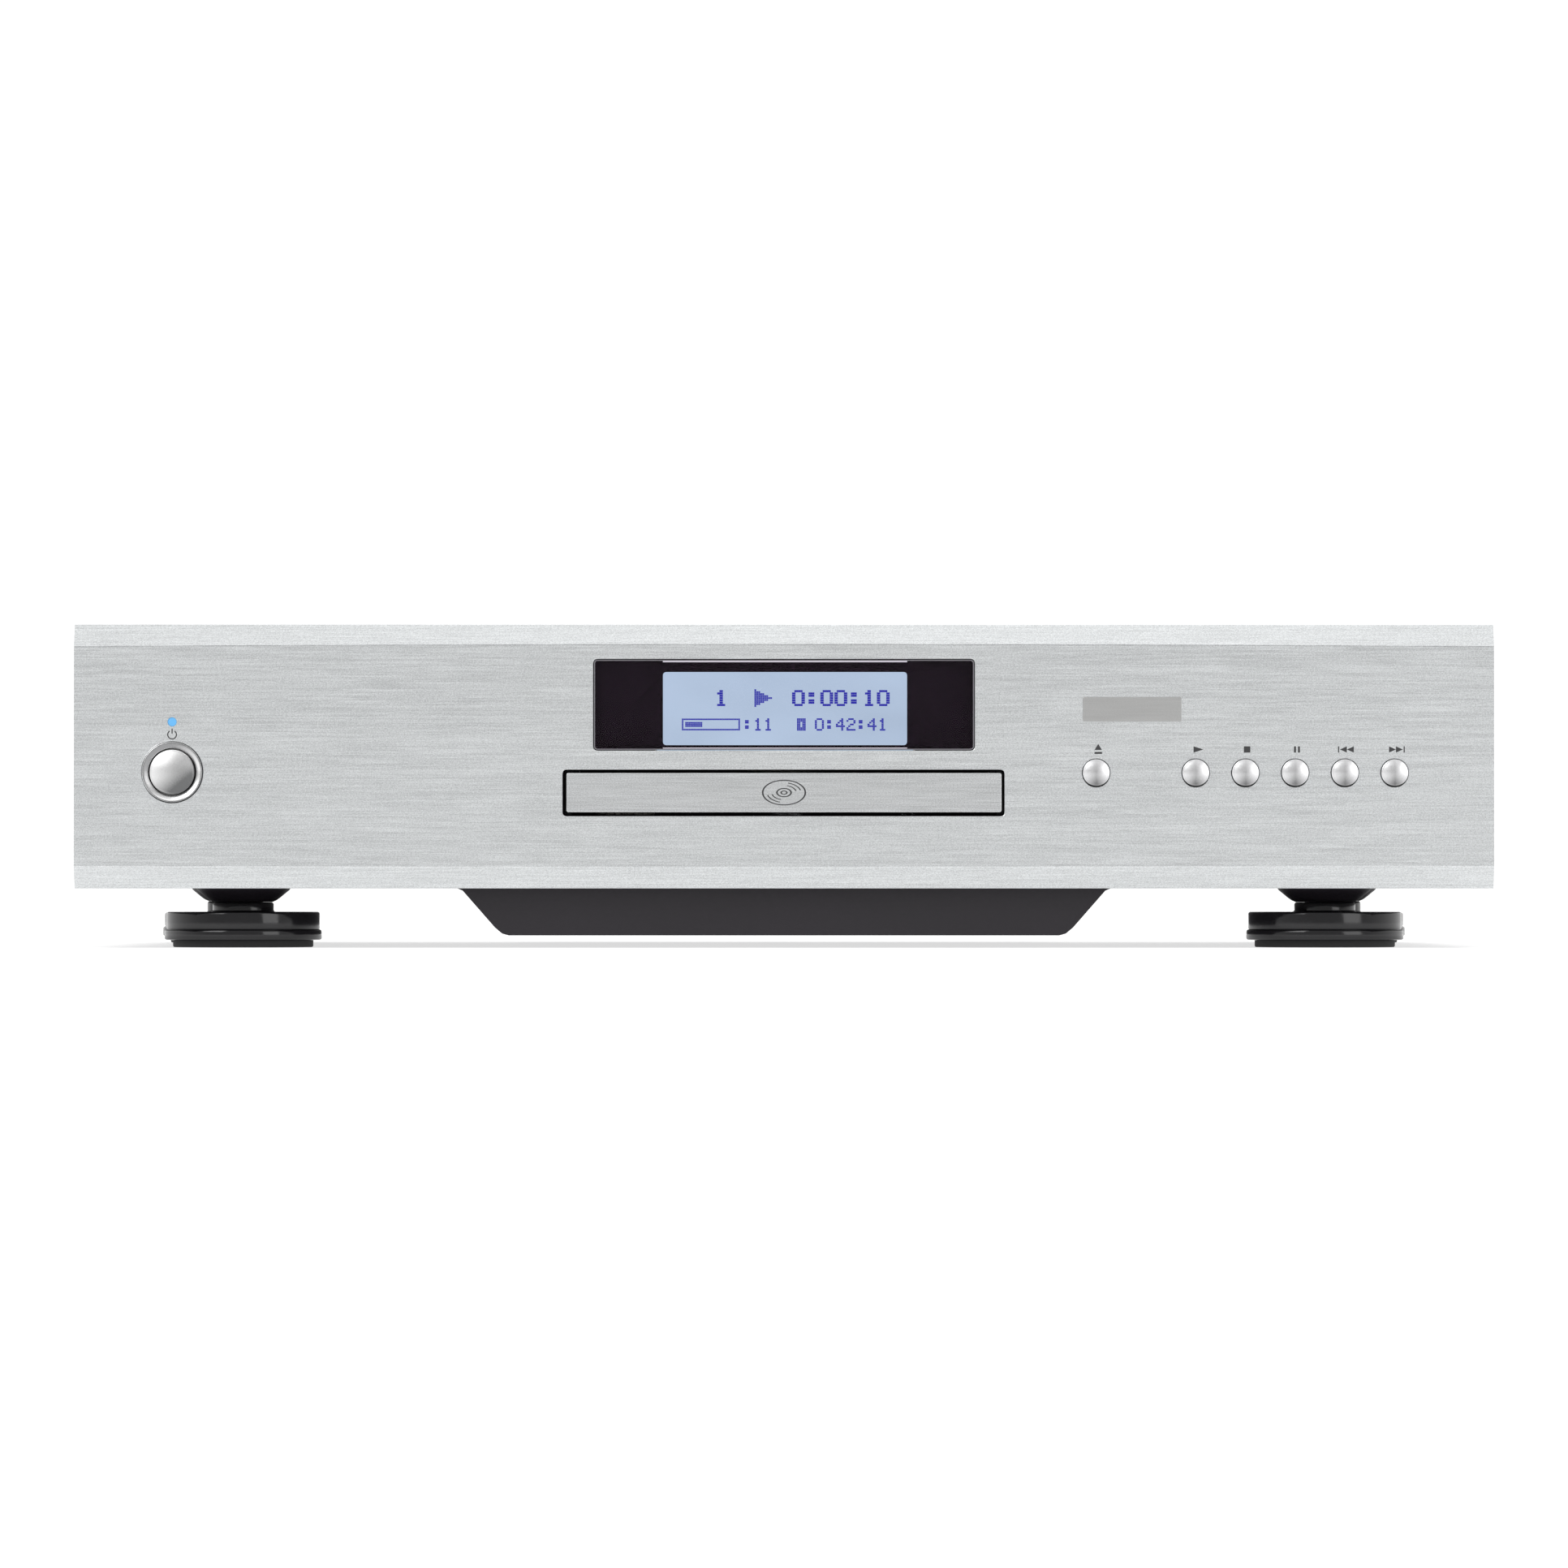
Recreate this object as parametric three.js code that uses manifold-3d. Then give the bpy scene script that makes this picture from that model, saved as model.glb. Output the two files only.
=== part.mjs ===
// A slim silver hi-fi compact disc player, as an assembly of its separate pieces.
// Millimetres. X runs to the right, the front panel faces -Y, and +Z is up. The origin is on the
// surface that the feet stand on, under the middle of the player.
import * as THREE from 'three';
import { mergeVertices } from 'three/addons/utils/BufferGeometryUtils.js';
import Module from 'manifold-3d';

const wasm = await Module();
wasm.setup();

// ---------------------------------------------------------------- driving dimensions

const WIDTH = 430;
const DEPTH = 314;
const HEIGHT = 98;
const GAP = 0.3; // clearance between pieces that meet
const SHEET = 1.2; // steel sheet of the case

// front panel
const BUTTON_FACE_Y = -DEPTH / 2;
const FACE_Y = BUTTON_FACE_Y + 2;
const PANEL_BACK_Y = FACE_Y + 7;
const PANEL_BOTTOM = 18;
const BEVEL_DEPTH = 4;
const TOP_BEVEL = 6.8;
const BOTTOM_BEVEL = 6.6;
const WINDOW = { width: 115, height: 27.2, z: 73.6, radius: 1.1 };
const LCD = { x: 0.3, width: 74, height: 22.2, z: 72.5 };
const TRAY_OPENING = { width: 133.5, height: 13.6, z: 47.1, radius: 1.1 };
const POWER = { x: -185.2, z: 53.2, ringRadius: 9.15, capRadius: 6.9 };
const LED = { z: 68.4, radius: 1.15 };
const BUTTON = { radius: 4.05, z: 53 };
const BUTTON_PITCH = 15.05;
const EJECT_X = 94.5;
const PLAY_X = EJECT_X + 2 * BUTTON_PITCH;
const BADGE = { x: 105.4, z: 72.2, width: 29.8, height: 7.4, radius: 0.8 };

// front frame, behind the panel
const FRAME = { halfWidth: 205, bottom: 22, top: 92, thickness: 3.6 };
const FRAME_FRONT_Y = PANEL_BACK_Y + GAP;
const FRAME_BACK_Y = FRAME_FRONT_Y + FRAME.thickness;
const BOARD = 1.6; // circuit board thickness

// case
const COVER_TOP = HEIGHT - 1;
const COVER_X = WIDTH / 2 - 1;
const PAN_X = COVER_X - SHEET - GAP;
const PAN_FRONT_Y = -142;
const REAR_Y = 145.3; // inner face of the rear panel
const CHANNEL = { top: 98.3, bottom: 85.3, z: 3.7 };

// feet
const FRONT_FOOT = { x: 166, y: -117, discTop: 10.8 };
const REAR_FOOT = { x: 183, y: 112, discTop: 10 };

// disc mechanism
const DISC_Y = -82;
const TRAY = { halfWidth: 64, bottom: 45, top: 51, front: FACE_Y + 3.5, back: 40 };
const SLOT_HALF = 19; // slot in the tray that the hub and the lens look through
const DOOR = { width: 131.8, height: 12, z: 47, radius: 0.8 };
const GUIDE_X = TRAY.halfWidth + 0.6;
const FRAME_SIDE_X = 71;
const DECK = { bottom: 27, top: 30, front: -105, back: 32, halfWidth: 48 };
const PIVOT = { y: 26, z: 28.5, radius: 2 };
const ROD = { x: 25, z: 36, radius: 1.5, y: [DISC_Y + 9.5, DISC_Y + 90] };
const GEAR_Y = -124;
const RACK_X = -58;
const PINION_RADIUS = 9;
const WHEEL_RADIUS = 14;
const PULLEY_PINION_RADIUS = 5;
const TRAY_GEAR_X = RACK_X + GAP + PINION_RADIUS;
const PULLEY_X = TRAY_GEAR_X + WHEEL_RADIUS + GAP + PULLEY_PINION_RADIUS;
const PULLEY_RADIUS = 13;
const MOTOR_X = 10;
const MOTOR_PULLEY_RADIUS = 4;
const CAM_TRAVEL = 22;
const CAM_DROP = 11.5;

// ---------------------------------------------------------------- materials

function material(color, roughness, metalness = 0) {
  return new THREE.MeshStandardMaterial({ color, roughness, metalness });
}

const MATERIALS = {
  brushedAluminium: material('#c5c7c9', 0.38, 0.9),
  cappedAluminium: material('#c9cacb', 0.3, 0.9),
  paintedSteel: material('#26262a', 0.55, 0.3),
  galvanised: material('#8f9296', 0.45, 0.9),
  blackPlastic: material('#17171a', 0.5),
  smokedAcrylic: material('#241a24', 0.08),
  display: material('#a5b4d1', 0.2),
  ledLens: material('#70bbf3', 0.2),
  footPlastic: material('#1b1b1e', 0.25),
  padRubber: material('#202020', 0.95),
  greyPlastic: material('#4a4b4f', 0.6),
  whitePlastic: material('#d8d6cf', 0.5),
  polishedSteel: material('#b9bcc0', 0.15, 1),
  brass: material('#c9a64b', 0.25, 1),
  circuitBoard: material('#1f5a35', 0.5),
  copperWinding: material('#9c5a2c', 0.4, 0.6),
  laminations: material('#5c5f63', 0.5, 0.8),
  rubber: material('#101010', 0.8),
  capacitorSleeve: material('#20242e', 0.35),
  lens: material('#7f9fc4', 0.02),
};

// ---------------------------------------------------------------- solids

// where an extruded outline's own X, Y and depth point, for each axis that it is extruded along
const EXTRUDE_BASES = {
  x: [new THREE.Vector3(0, 1, 0), new THREE.Vector3(0, 0, 1), new THREE.Vector3(1, 0, 0)],
  y: [new THREE.Vector3(1, 0, 0), new THREE.Vector3(0, 0, 1), new THREE.Vector3(0, -1, 0)],
  z: [new THREE.Vector3(1, 0, 0), new THREE.Vector3(0, 1, 0), new THREE.Vector3(0, 0, 1)],
};

function toSolid(geometry) {
  const bare = geometry.clone();
  bare.deleteAttribute('normal');
  bare.deleteAttribute('uv');
  const merged = mergeVertices(bare, 1e-4);
  const count = merged.attributes.position.count;
  const triVerts = merged.index
    ? new Uint32Array(merged.index.array)
    : Uint32Array.from({ length: count }, (_, i) => i);
  const vertProperties = new Float32Array(merged.attributes.position.array);
  return new wasm.Manifold(new wasm.Mesh({ numProp: 3, vertProperties, triVerts }));
}

function toGeometry(solid) {
  const mesh = solid.getMesh();
  const geometry = new THREE.BufferGeometry();
  geometry.setAttribute('position', new THREE.BufferAttribute(mesh.vertProperties, 3));
  geometry.setIndex(new THREE.BufferAttribute(mesh.triVerts, 1));
  geometry.computeVertexNormals();
  return geometry;
}

// a box between two values on each axis
function block([x0, x1], [y0, y1], [z0, z1]) {
  const geometry = new THREE.BoxGeometry(x1 - x0, y1 - y0, z1 - z0);
  return toSolid(geometry.translate((x0 + x1) / 2, (y0 + y1) / 2, (z0 + z1) / 2));
}

// a block that is as wide to the left of X = 0 as to the right
function centredBlock(halfWidth, y, z) {
  return block([-halfWidth, halfWidth], y, z);
}

// the X range between two distances from the middle, on the left (side -1) or on the right (side 1)
function sideSpan(side, near, far) {
  return side < 0 ? [-far, -near] : [near, far];
}

// an outline extruded between two values on an axis; the outline is drawn in the other two axes
function extruded(shape, axis, [from, to], curveSegments = 6) {
  const depth = to - from;
  const geometry = new THREE.ExtrudeGeometry(shape, { depth, bevelEnabled: false, curveSegments });
  geometry.applyMatrix4(new THREE.Matrix4().makeBasis(...EXTRUDE_BASES[axis]));
  const start = { x: [from, 0, 0], y: [0, to, 0], z: [0, 0, from] }[axis];
  return toSolid(geometry.translate(...start));
}

// a profile of [radius, height] points, counter-clockwise, turned about an axis through `centre`,
// which gives the other two coordinates in X, Y, Z order
function turned(profile, axis, centre, segments = 20) {
  const points = profile.map(([radius, height]) => new THREE.Vector2(radius, height));
  const geometry = new THREE.LatheGeometry(points, segments);
  if (axis === 'x') geometry.rotateZ(-Math.PI / 2).translate(0, centre[0], centre[1]);
  if (axis === 'y') geometry.translate(centre[0], 0, centre[1]);
  if (axis === 'z') geometry.rotateX(Math.PI / 2).translate(centre[0], centre[1], 0);
  return toSolid(geometry);
}

function rod(radius, axis, [from, to], centre, segments = 12) {
  return turned([[0, from], [radius, from], [radius, to], [0, to]], axis, centre, segments);
}

function polygon(points) {
  return new THREE.Shape(points.map(([x, y]) => new THREE.Vector2(x, y)));
}

function roundedRectangle(x, y, width, height, radius) {
  const shape = new THREE.Shape();
  const right = x + width / 2 - radius;
  const left = x - width / 2 + radius;
  const top = y + height / 2 - radius;
  const bottom = y - height / 2 + radius;
  shape.absarc(right, bottom, radius, -Math.PI / 2, 0);
  shape.absarc(right, top, radius, 0, Math.PI / 2);
  shape.absarc(left, top, radius, Math.PI / 2, Math.PI);
  shape.absarc(left, bottom, radius, Math.PI, 1.5 * Math.PI);
  return shape;
}

// a flat slab with rounded corners across Y, such as a window or its hole
function roundedSlab({ x = 0, z, width, height, radius = 1 }, y) {
  return extruded(roundedRectangle(x, z, width, height, radius), 'y', y, 2);
}

// the same slab, wider and higher by an amount
function grown(slab, amount) {
  return { ...slab, width: slab.width + amount, height: slab.height + amount };
}

// a gear's outline, with one point on each tooth's tip and one in each gap
function gearOutline(x, y, rootRadius, tipRadius, teeth) {
  const steps = teeth * 2;
  const points = Array.from({ length: steps }, (_, i) => {
    const radius = i % 2 ? rootRadius : tipRadius;
    const angle = (i / steps) * 2 * Math.PI;
    return [x + radius * Math.cos(angle), y + radius * Math.sin(angle)];
  });
  return polygon(points);
}

function join(first, ...others) {
  return others.reduce((whole, other) => whole.add(other), first);
}

function cut(first, ...others) {
  return others.reduce((whole, other) => whole.subtract(other), first);
}

const player = new THREE.Group();

function place(name, solid, meshMaterial, [x, y, z] = [0, 0, 0]) {
  const mesh = new THREE.Mesh(toGeometry(solid), meshMaterial);
  mesh.name = name;
  mesh.position.set(x, y, z);
  player.add(mesh);
}

// ---------------------------------------------------------------- front panel and its fittings

// the transport buttons from left to right, with the wider space that keeps eject on its own
const BUTTONS = [
  ['eject_button', EJECT_X],
  ['play_button', PLAY_X],
  ['stop_button', PLAY_X + BUTTON_PITCH],
  ['pause_button', PLAY_X + 2 * BUTTON_PITCH],
  ['previous_button', PLAY_X + 3 * BUTTON_PITCH],
  ['next_button', PLAY_X + 4 * BUTTON_PITCH],
];

function frontPanel() {
  const recessedY = FACE_Y + BEVEL_DEPTH;
  const section = polygon([
    [FACE_Y, PANEL_BOTTOM + BOTTOM_BEVEL],
    [recessedY, PANEL_BOTTOM],
    [PANEL_BACK_Y, PANEL_BOTTOM],
    [PANEL_BACK_Y, HEIGHT],
    [recessedY, HEIGHT],
    [FACE_Y, HEIGHT - TOP_BEVEL],
  ]);
  const through = [FACE_Y - 1, PANEL_BACK_Y + 1];
  const bar = extruded(section, 'x', [-WIDTH / 2, WIDTH / 2]);
  const windowHole = grown(WINDOW, 0.5);
  const buttonHoles = BUTTONS.map(([, x]) => rod(BUTTON.radius + 0.35, 'y', through, [x, BUTTON.z], 14));
  return cut(
    bar,
    roundedSlab(windowHole, through),
    roundedSlab(TRAY_OPENING, through),
    rod(POWER.ringRadius + 0.15, 'y', through, [POWER.x, POWER.z], 24),
    rod(LED.radius + 0.15, 'y', through, [POWER.x, LED.z], 10),
    ...buttonHoles,
  );
}

const LCD_POCKET = { x: LCD.x, z: LCD.z, width: 79, height: 26.4, radius: 0.6 };
const WINDOW_BACK_Y = FACE_Y + 3;
const MASK_FRONT_Y = WINDOW_BACK_Y + 0.2;
const MASK_BACK_Y = MASK_FRONT_Y + 1.2;
const FLANGE_Y = [PANEL_BACK_Y + 0.4, PANEL_BACK_Y + 1.8];
const WEB_Y = FRAME_BACK_Y - 1;
const SWITCH_BOARD_Y = FRAME_BACK_Y + 4.6;

function frontFrame() {
  const through = [FRAME_FRONT_Y - 1, FRAME_BACK_Y + 1];
  const slab = centredBlock(FRAME.halfWidth, [FRAME_FRONT_Y, FRAME_BACK_Y], [FRAME.bottom, FRAME.top]);
  const boss = roundedSlab(WINDOW, [MASK_FRONT_Y, FRAME_FRONT_Y + 1]);
  const bores = BUTTONS.flatMap(([, x]) => [
    rod(5.6, 'y', [FRAME_FRONT_Y - 1, WEB_Y], [x, BUTTON.z]),
    rod(2, 'y', through, [x, BUTTON.z], 8),
  ]);
  const posts = [87, 192].flatMap((x) =>
    [46, 60].map((z) => rod(2, 'y', [FRAME_BACK_Y - 1, SWITCH_BOARD_Y - GAP], [x, z], 6)),
  );
  const hollowed = cut(
    join(slab, boss),
    roundedSlab({ ...LCD, radius: 1 }, [MASK_FRONT_Y - 1, FRAME_BACK_Y + 1]),
    roundedSlab(LCD_POCKET, [MASK_BACK_Y, FRAME_BACK_Y + 1]),
    roundedSlab(TRAY_OPENING, through),
    rod(9, 'y', through, [POWER.x, POWER.z], 16),
    rod(2, 'y', through, [POWER.x, LED.z], 8),
    ...bores,
  );
  return join(hollowed, ...posts);
}

// the display glass and the light box behind it have the same outline
function displayBlock(y) {
  return block([LCD.x - 39, LCD.x + 39], y, [LCD.z - 12.6, LCD.z + 12.6]);
}

function displayBoard() {
  const boardY = FRAME_BACK_Y + 0.5;
  const light = displayBlock([MASK_BACK_Y + 3.4, boardY + 0.1]);
  return join(light, block([-60, 60], [boardY, boardY + BOARD], [57, 91]));
}

function powerRing() {
  const { ringRadius: r } = POWER;
  const profile = [
    [r - 0.25, FACE_Y - 0.6],
    [r, FACE_Y - 0.35],
    [r, FACE_Y + 6],
    [r - 1.8, FACE_Y + 6],
    [r - 1.8, FACE_Y + 1.8],
    [r - 0.25, FACE_Y - 0.6],
  ];
  return turned(profile, 'y', [POWER.x, POWER.z], 24);
}

const SWITCH_FRONT_Y = -136;

function powerButton() {
  const r = POWER.capRadius;
  const flangeFront = PANEL_BACK_Y - 0.6;
  const profile = [
    [0, BUTTON_FACE_Y],
    [3.4, BUTTON_FACE_Y + 0.4],
    [r - 0.7, BUTTON_FACE_Y + 1.6],
    [r, BUTTON_FACE_Y + 3],
    [r, flangeFront],
    [r + 1.4, flangeFront],
    [r + 1.4, flangeFront + 1.4],
    [2.5, flangeFront + 1.4],
    [2.5, SWITCH_FRONT_Y + 3],
    [0, SWITCH_FRONT_Y + 3],
  ];
  return turned(profile, 'y', [POWER.x, POWER.z], 20);
}

function powerSwitch() {
  const { x, z } = POWER;
  const backY = SWITCH_FRONT_Y + 22;
  const body = block([x - 8, x + 8], [SWITCH_FRONT_Y, backY], [z - 9, z + 9]);
  const bore = rod(3, 'y', [SWITCH_FRONT_Y - 1, SWITCH_FRONT_Y + 8], [x, z], 16);
  const terminals = [x - 4, x + 4].map((terminalX) =>
    block([terminalX - 1, terminalX + 1], [backY - 1, backY + 5], [z - 3, z + 3]),
  );
  return join(cut(body, bore), ...terminals);
}

function statusLed() {
  const r = LED.radius;
  const profile = [
    [0, FACE_Y - 0.5],
    [r - 0.4, FACE_Y - 0.3],
    [r, FACE_Y + 0.4],
    [r, PANEL_BACK_Y + 0.4],
    [r + 0.5, PANEL_BACK_Y + 0.4],
    [r + 0.5, FRAME_BACK_Y + 2],
    [0, FRAME_BACK_Y + 2],
  ];
  return turned(profile, 'y', [POWER.x, LED.z], 10);
}

// one transport button about its own axis, which place() moves along X
function transportButton() {
  const r = BUTTON.radius;
  const profile = [
    [0, BUTTON_FACE_Y],
    [r - 0.4, BUTTON_FACE_Y],
    [r, BUTTON_FACE_Y + 0.4],
    [r, FLANGE_Y[0]],
    [r + 1.15, FLANGE_Y[0]],
    [r + 1.15, FLANGE_Y[1]],
    [1.6, FLANGE_Y[1]],
    [1.6, FRAME_BACK_Y + 0.1],
    [0, FRAME_BACK_Y + 0.1],
  ];
  return turned(profile, 'y', [0, BUTTON.z], 14);
}

function buttonBoard() {
  const board = block([83, 196], [SWITCH_BOARD_Y, SWITCH_BOARD_Y + BOARD], [43, 63]);
  const switches = BUTTONS.map(([, x]) =>
    block([x - 3, x + 3], [SWITCH_BOARD_Y - 3.5, SWITCH_BOARD_Y + 0.5], [BUTTON.z - 3, BUTTON.z + 3]),
  );
  return join(board, ...switches);
}

place('front_panel', frontPanel(), MATERIALS.brushedAluminium);
place('front_frame', frontFrame(), MATERIALS.blackPlastic);
place('display_window', roundedSlab(WINDOW, [FACE_Y + 0.4, WINDOW_BACK_Y]), MATERIALS.smokedAcrylic);
place('lcd_screen', displayBlock([MASK_BACK_Y + GAP, MASK_BACK_Y + 3.1]), MATERIALS.display);
place('display_board', displayBoard(), MATERIALS.whitePlastic);
place('badge_plate', roundedSlab(BADGE, [FACE_Y - 0.5, FACE_Y]), MATERIALS.cappedAluminium);
place('power_ring', powerRing(), MATERIALS.cappedAluminium);
place('power_button', powerButton(), MATERIALS.cappedAluminium);
place('power_switch', powerSwitch(), MATERIALS.blackPlastic);
place('status_led', statusLed(), MATERIALS.ledLens);
for (const [name, x] of BUTTONS) place(name, transportButton(), MATERIALS.cappedAluminium, [x, 0, 0]);
place('button_board', buttonBoard(), MATERIALS.circuitBoard);

// ---------------------------------------------------------------- case

const FEET = [
  ['front_left', -FRONT_FOOT.x, FRONT_FOOT.y, FRONT_FOOT.discTop],
  ['front_right', FRONT_FOOT.x, FRONT_FOOT.y, FRONT_FOOT.discTop],
  ['rear_left', -REAR_FOOT.x, REAR_FOOT.y, REAR_FOOT.discTop],
  ['rear_right', REAR_FOOT.x, REAR_FOOT.y, REAR_FOOT.discTop],
];
const BOSS_BOTTOM = 13.8;
const SCREW_HOLE = 2.1; // radius for a foot's screw

// the case's cross-section below the side walls: flat at the sides, with a sunken channel
function panOutline(top) {
  return polygon([
    [-PAN_X, PANEL_BOTTOM],
    [-CHANNEL.top, PANEL_BOTTOM],
    [-CHANNEL.bottom - 1.6, CHANNEL.z + 1.4],
    [-CHANNEL.bottom + 1, CHANNEL.z],
    [CHANNEL.bottom - 1, CHANNEL.z],
    [CHANNEL.bottom + 1.6, CHANNEL.z + 1.4],
    [CHANNEL.top, PANEL_BOTTOM],
    [PAN_X, PANEL_BOTTOM],
    [PAN_X, top],
    [-PAN_X, top],
  ]);
}

// the same section, one sheet thickness further in
function panInside(top) {
  return polygon([
    [-PAN_X + SHEET, PANEL_BOTTOM + SHEET],
    [-CHANNEL.top + 0.5, PANEL_BOTTOM + SHEET],
    [-CHANNEL.bottom - 0.8, CHANNEL.z + 2.2],
    [-CHANNEL.bottom + 1.4, CHANNEL.z + SHEET],
    [CHANNEL.bottom - 1.4, CHANNEL.z + SHEET],
    [CHANNEL.bottom + 0.8, CHANNEL.z + 2.2],
    [CHANNEL.top - 0.5, PANEL_BOTTOM + SHEET],
    [PAN_X - SHEET, PANEL_BOTTOM + SHEET],
    [PAN_X - SHEET, top],
    [-PAN_X + SHEET, top],
  ]);
}

// the round pressing that a foot is screwed to, and the hollow inside it
function footBoss(x, y) {
  const profile = [
    [0, BOSS_BOTTOM],
    [8.9, BOSS_BOTTOM],
    [11, 14.9],
    [13, 16.6],
    [14.2, PANEL_BOTTOM + 0.4],
    [0, PANEL_BOTTOM + 0.4],
  ];
  return turned(profile, 'z', [x, y], 14);
}

function footBossHollow(x, y) {
  const profile = [
    [0, BOSS_BOTTOM + SHEET],
    [8.4, BOSS_BOTTOM + SHEET],
    [11.8, 17.2],
    [13, PANEL_BOTTOM + 2],
    [0, PANEL_BOTTOM + 2],
  ];
  return turned(profile, 'z', [x, y], 14);
}

const MAIN_BOARD = { x: [108, 204], y: [-60, 134] };
const POWER_BOARD = { x: [-204, -112], y: [-20, 134] };
const BOARD_Z = 27;

// the places of the four posts under a board
function boardPosts({ x, y }) {
  return x.flatMap((edgeX, i) => y.map((edgeY, j) => [edgeX + (i ? -5 : 5), edgeY + (j ? -5 : 5)]));
}

const SLOT_PITCH = 8;

// rows of long slots, cut through a sheet that lies across Z
function ventSlots(xs, [y0, y1], z) {
  return xs.map((x) => block([x - 1.5, x + 1.5], [y0, y1], z));
}

function spread(from, pitch, count) {
  return Array.from({ length: count }, (_, i) => from + i * pitch);
}

function bottomPan() {
  const tub = extruded(panOutline(30), 'y', [PAN_FRONT_Y, REAR_Y - GAP]);
  const hollow = extruded(panInside(31), 'y', [PAN_FRONT_Y + SHEET, REAR_Y + 1]);
  const posts = [MAIN_BOARD, POWER_BOARD].flatMap((board) =>
    boardPosts(board).map(([x, y]) => rod(3, 'z', [PANEL_BOTTOM + 0.5, BOARD_Z - 0.1], [x, y], 6)),
  );
  const bosses = FEET.map(([, x, y]) => footBoss(x, y));
  const hollows = FEET.map(([, x, y]) => footBossHollow(x, y));
  const screwHoles = FEET.map(([, x, y]) =>
    rod(SCREW_HOLE, 'z', [BOSS_BOTTOM - 1, PANEL_BOTTOM], [x, y], 8),
  );
  const floorZ = [PANEL_BOTTOM - 1, PANEL_BOTTOM + SHEET + 1];
  const slots = [-1, 1].flatMap((side) =>
    ventSlots(spread(side * 158 - 20, SLOT_PITCH, 6), [-10, 40], floorZ),
  );
  const channelZ = [CHANNEL.z - 1, CHANNEL.z + SHEET + 1];
  const channelSlots = ventSlots(spread(-36, SLOT_PITCH, 10), [80, 120], channelZ);
  const pressed = cut(join(tub, ...bosses), hollow, ...hollows);
  return cut(join(pressed, ...posts), ...screwHoles, ...slots, ...channelSlots);
}

function topCover() {
  const y = [PANEL_BACK_Y + GAP, REAR_Y + SHEET + GAP];
  const outside = block([-COVER_X, COVER_X], y, [PANEL_BOTTOM + 0.2, COVER_TOP]);
  const inside = centredBlock(COVER_X - SHEET, [y[0] - 1, y[1] + 1], [0, COVER_TOP - SHEET]);
  const slotZ = [COVER_TOP - SHEET - 1, COVER_TOP + 1];
  const leftSlots = ventSlots(spread(-191, SLOT_PITCH, 10), [-116, -56], slotZ);
  const rightSlots = ventSlots(spread(119, SLOT_PITCH, 10), [60, 120], slotZ);
  return cut(outside, inside, ...leftSlots, ...rightSlots);
}

const JACKS = { z: 36, analogX: [132, 150], digitalX: 182, hole: 3.9 };
const INLET = { x: -168, z: 44, width: 27.6, height: 20 };
const REAR_OUTER_Y = REAR_Y + SHEET;

function rearPanel() {
  const sheet = extruded(panOutline(COVER_TOP - SHEET - GAP), 'y', [REAR_Y, REAR_OUTER_Y]);
  const through = [REAR_Y - 1, REAR_OUTER_Y + 1];
  const jackXs = [...JACKS.analogX, JACKS.digitalX];
  const jackHoles = jackXs.map((x) => rod(JACKS.hole, 'y', through, [x, JACKS.z], 10));
  const inletHole = roundedSlab(grown(INLET, 0.6), through);
  const slots = spread(-44, SLOT_PITCH, 12).map((x) => block([x - 1.5, x + 1.5], through, [62, 82]));
  return cut(sheet, ...jackHoles, inletHole, ...slots);
}

function foot(discTop) {
  const profile = [
    [0, 2.2],
    [24.1, 2.2],
    [24.1, 5.4],
    [23.5, 5.4],
    [23.5, discTop],
    [9.35, discTop],
    [9.35, BOSS_BOTTOM - 0.05],
    [0, BOSS_BOTTOM - 0.05],
  ];
  const body = turned(profile, 'z', [0, 0], 24);
  const well = rod(6, 'z', [0, 9], [0, 0]);
  const screwHole = rod(SCREW_HOLE, 'z', [8, BOSS_BOTTOM + 1], [0, 0], 8);
  return cut(body, well, screwHole);
}

function footPad() {
  const profile = [
    [8, 0],
    [21.5, 0],
    [21.5, 2.1],
    [8, 2.1],
    [8, 0],
  ];
  return turned(profile, 'z', [0, 0], 24);
}

place('bottom_pan', bottomPan(), MATERIALS.paintedSteel);
place('top_cover', topCover(), MATERIALS.paintedSteel);
place('rear_panel', rearPanel(), MATERIALS.paintedSteel);
for (const [corner, x, y, discTop] of FEET) {
  place(`foot_${corner}`, foot(discTop), MATERIALS.footPlastic, [x, y, 0]);
  place(`foot_pad_${corner}`, footPad(), MATERIALS.padRubber, [x, y, 0]);
}

// ---------------------------------------------------------------- disc tray

const WELL_12 = { radius: 60.5, z: 48 };
const WELL_8 = { radius: 40.5, z: 46.4 };

// the slot under the hub and the lens, open at the tray's rear edge
function traySlot() {
  const z = [TRAY.bottom - 5, TRAY.top + 1];
  const straight = centredBlock(SLOT_HALF, [DISC_Y, TRAY.back + 1], z);
  return join(straight, rod(SLOT_HALF, 'z', z, [0, DISC_Y], 24));
}

function tray() {
  const length = TRAY.back - TRAY.front;
  const outline = roundedRectangle(0, TRAY.front + length / 2, 2 * TRAY.halfWidth, length, 2);
  const plate = extruded(outline, 'z', [TRAY.bottom, TRAY.top], 3);
  const underZ = [TRAY.bottom - 3.5, TRAY.bottom + 1];
  const rack = block([RACK_X - 4, RACK_X], [TRAY.front + 4, TRAY.back - 2], underZ);
  const skirt = centredBlock(60, [TRAY.front, TRAY.front + 3], underZ);
  return cut(
    join(plate, rack, skirt),
    rod(WELL_12.radius, 'z', [WELL_12.z, TRAY.top + 1], [0, DISC_Y], 48),
    rod(WELL_8.radius, 'z', [WELL_8.z, TRAY.top + 1], [0, DISC_Y], 32),
    traySlot(),
  );
}

place('tray', tray(), MATERIALS.blackPlastic);
place('tray_door', roundedSlab(DOOR, [FACE_Y, TRAY.front - GAP]), MATERIALS.brushedAluminium);

// ---------------------------------------------------------------- loading mechanism

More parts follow.
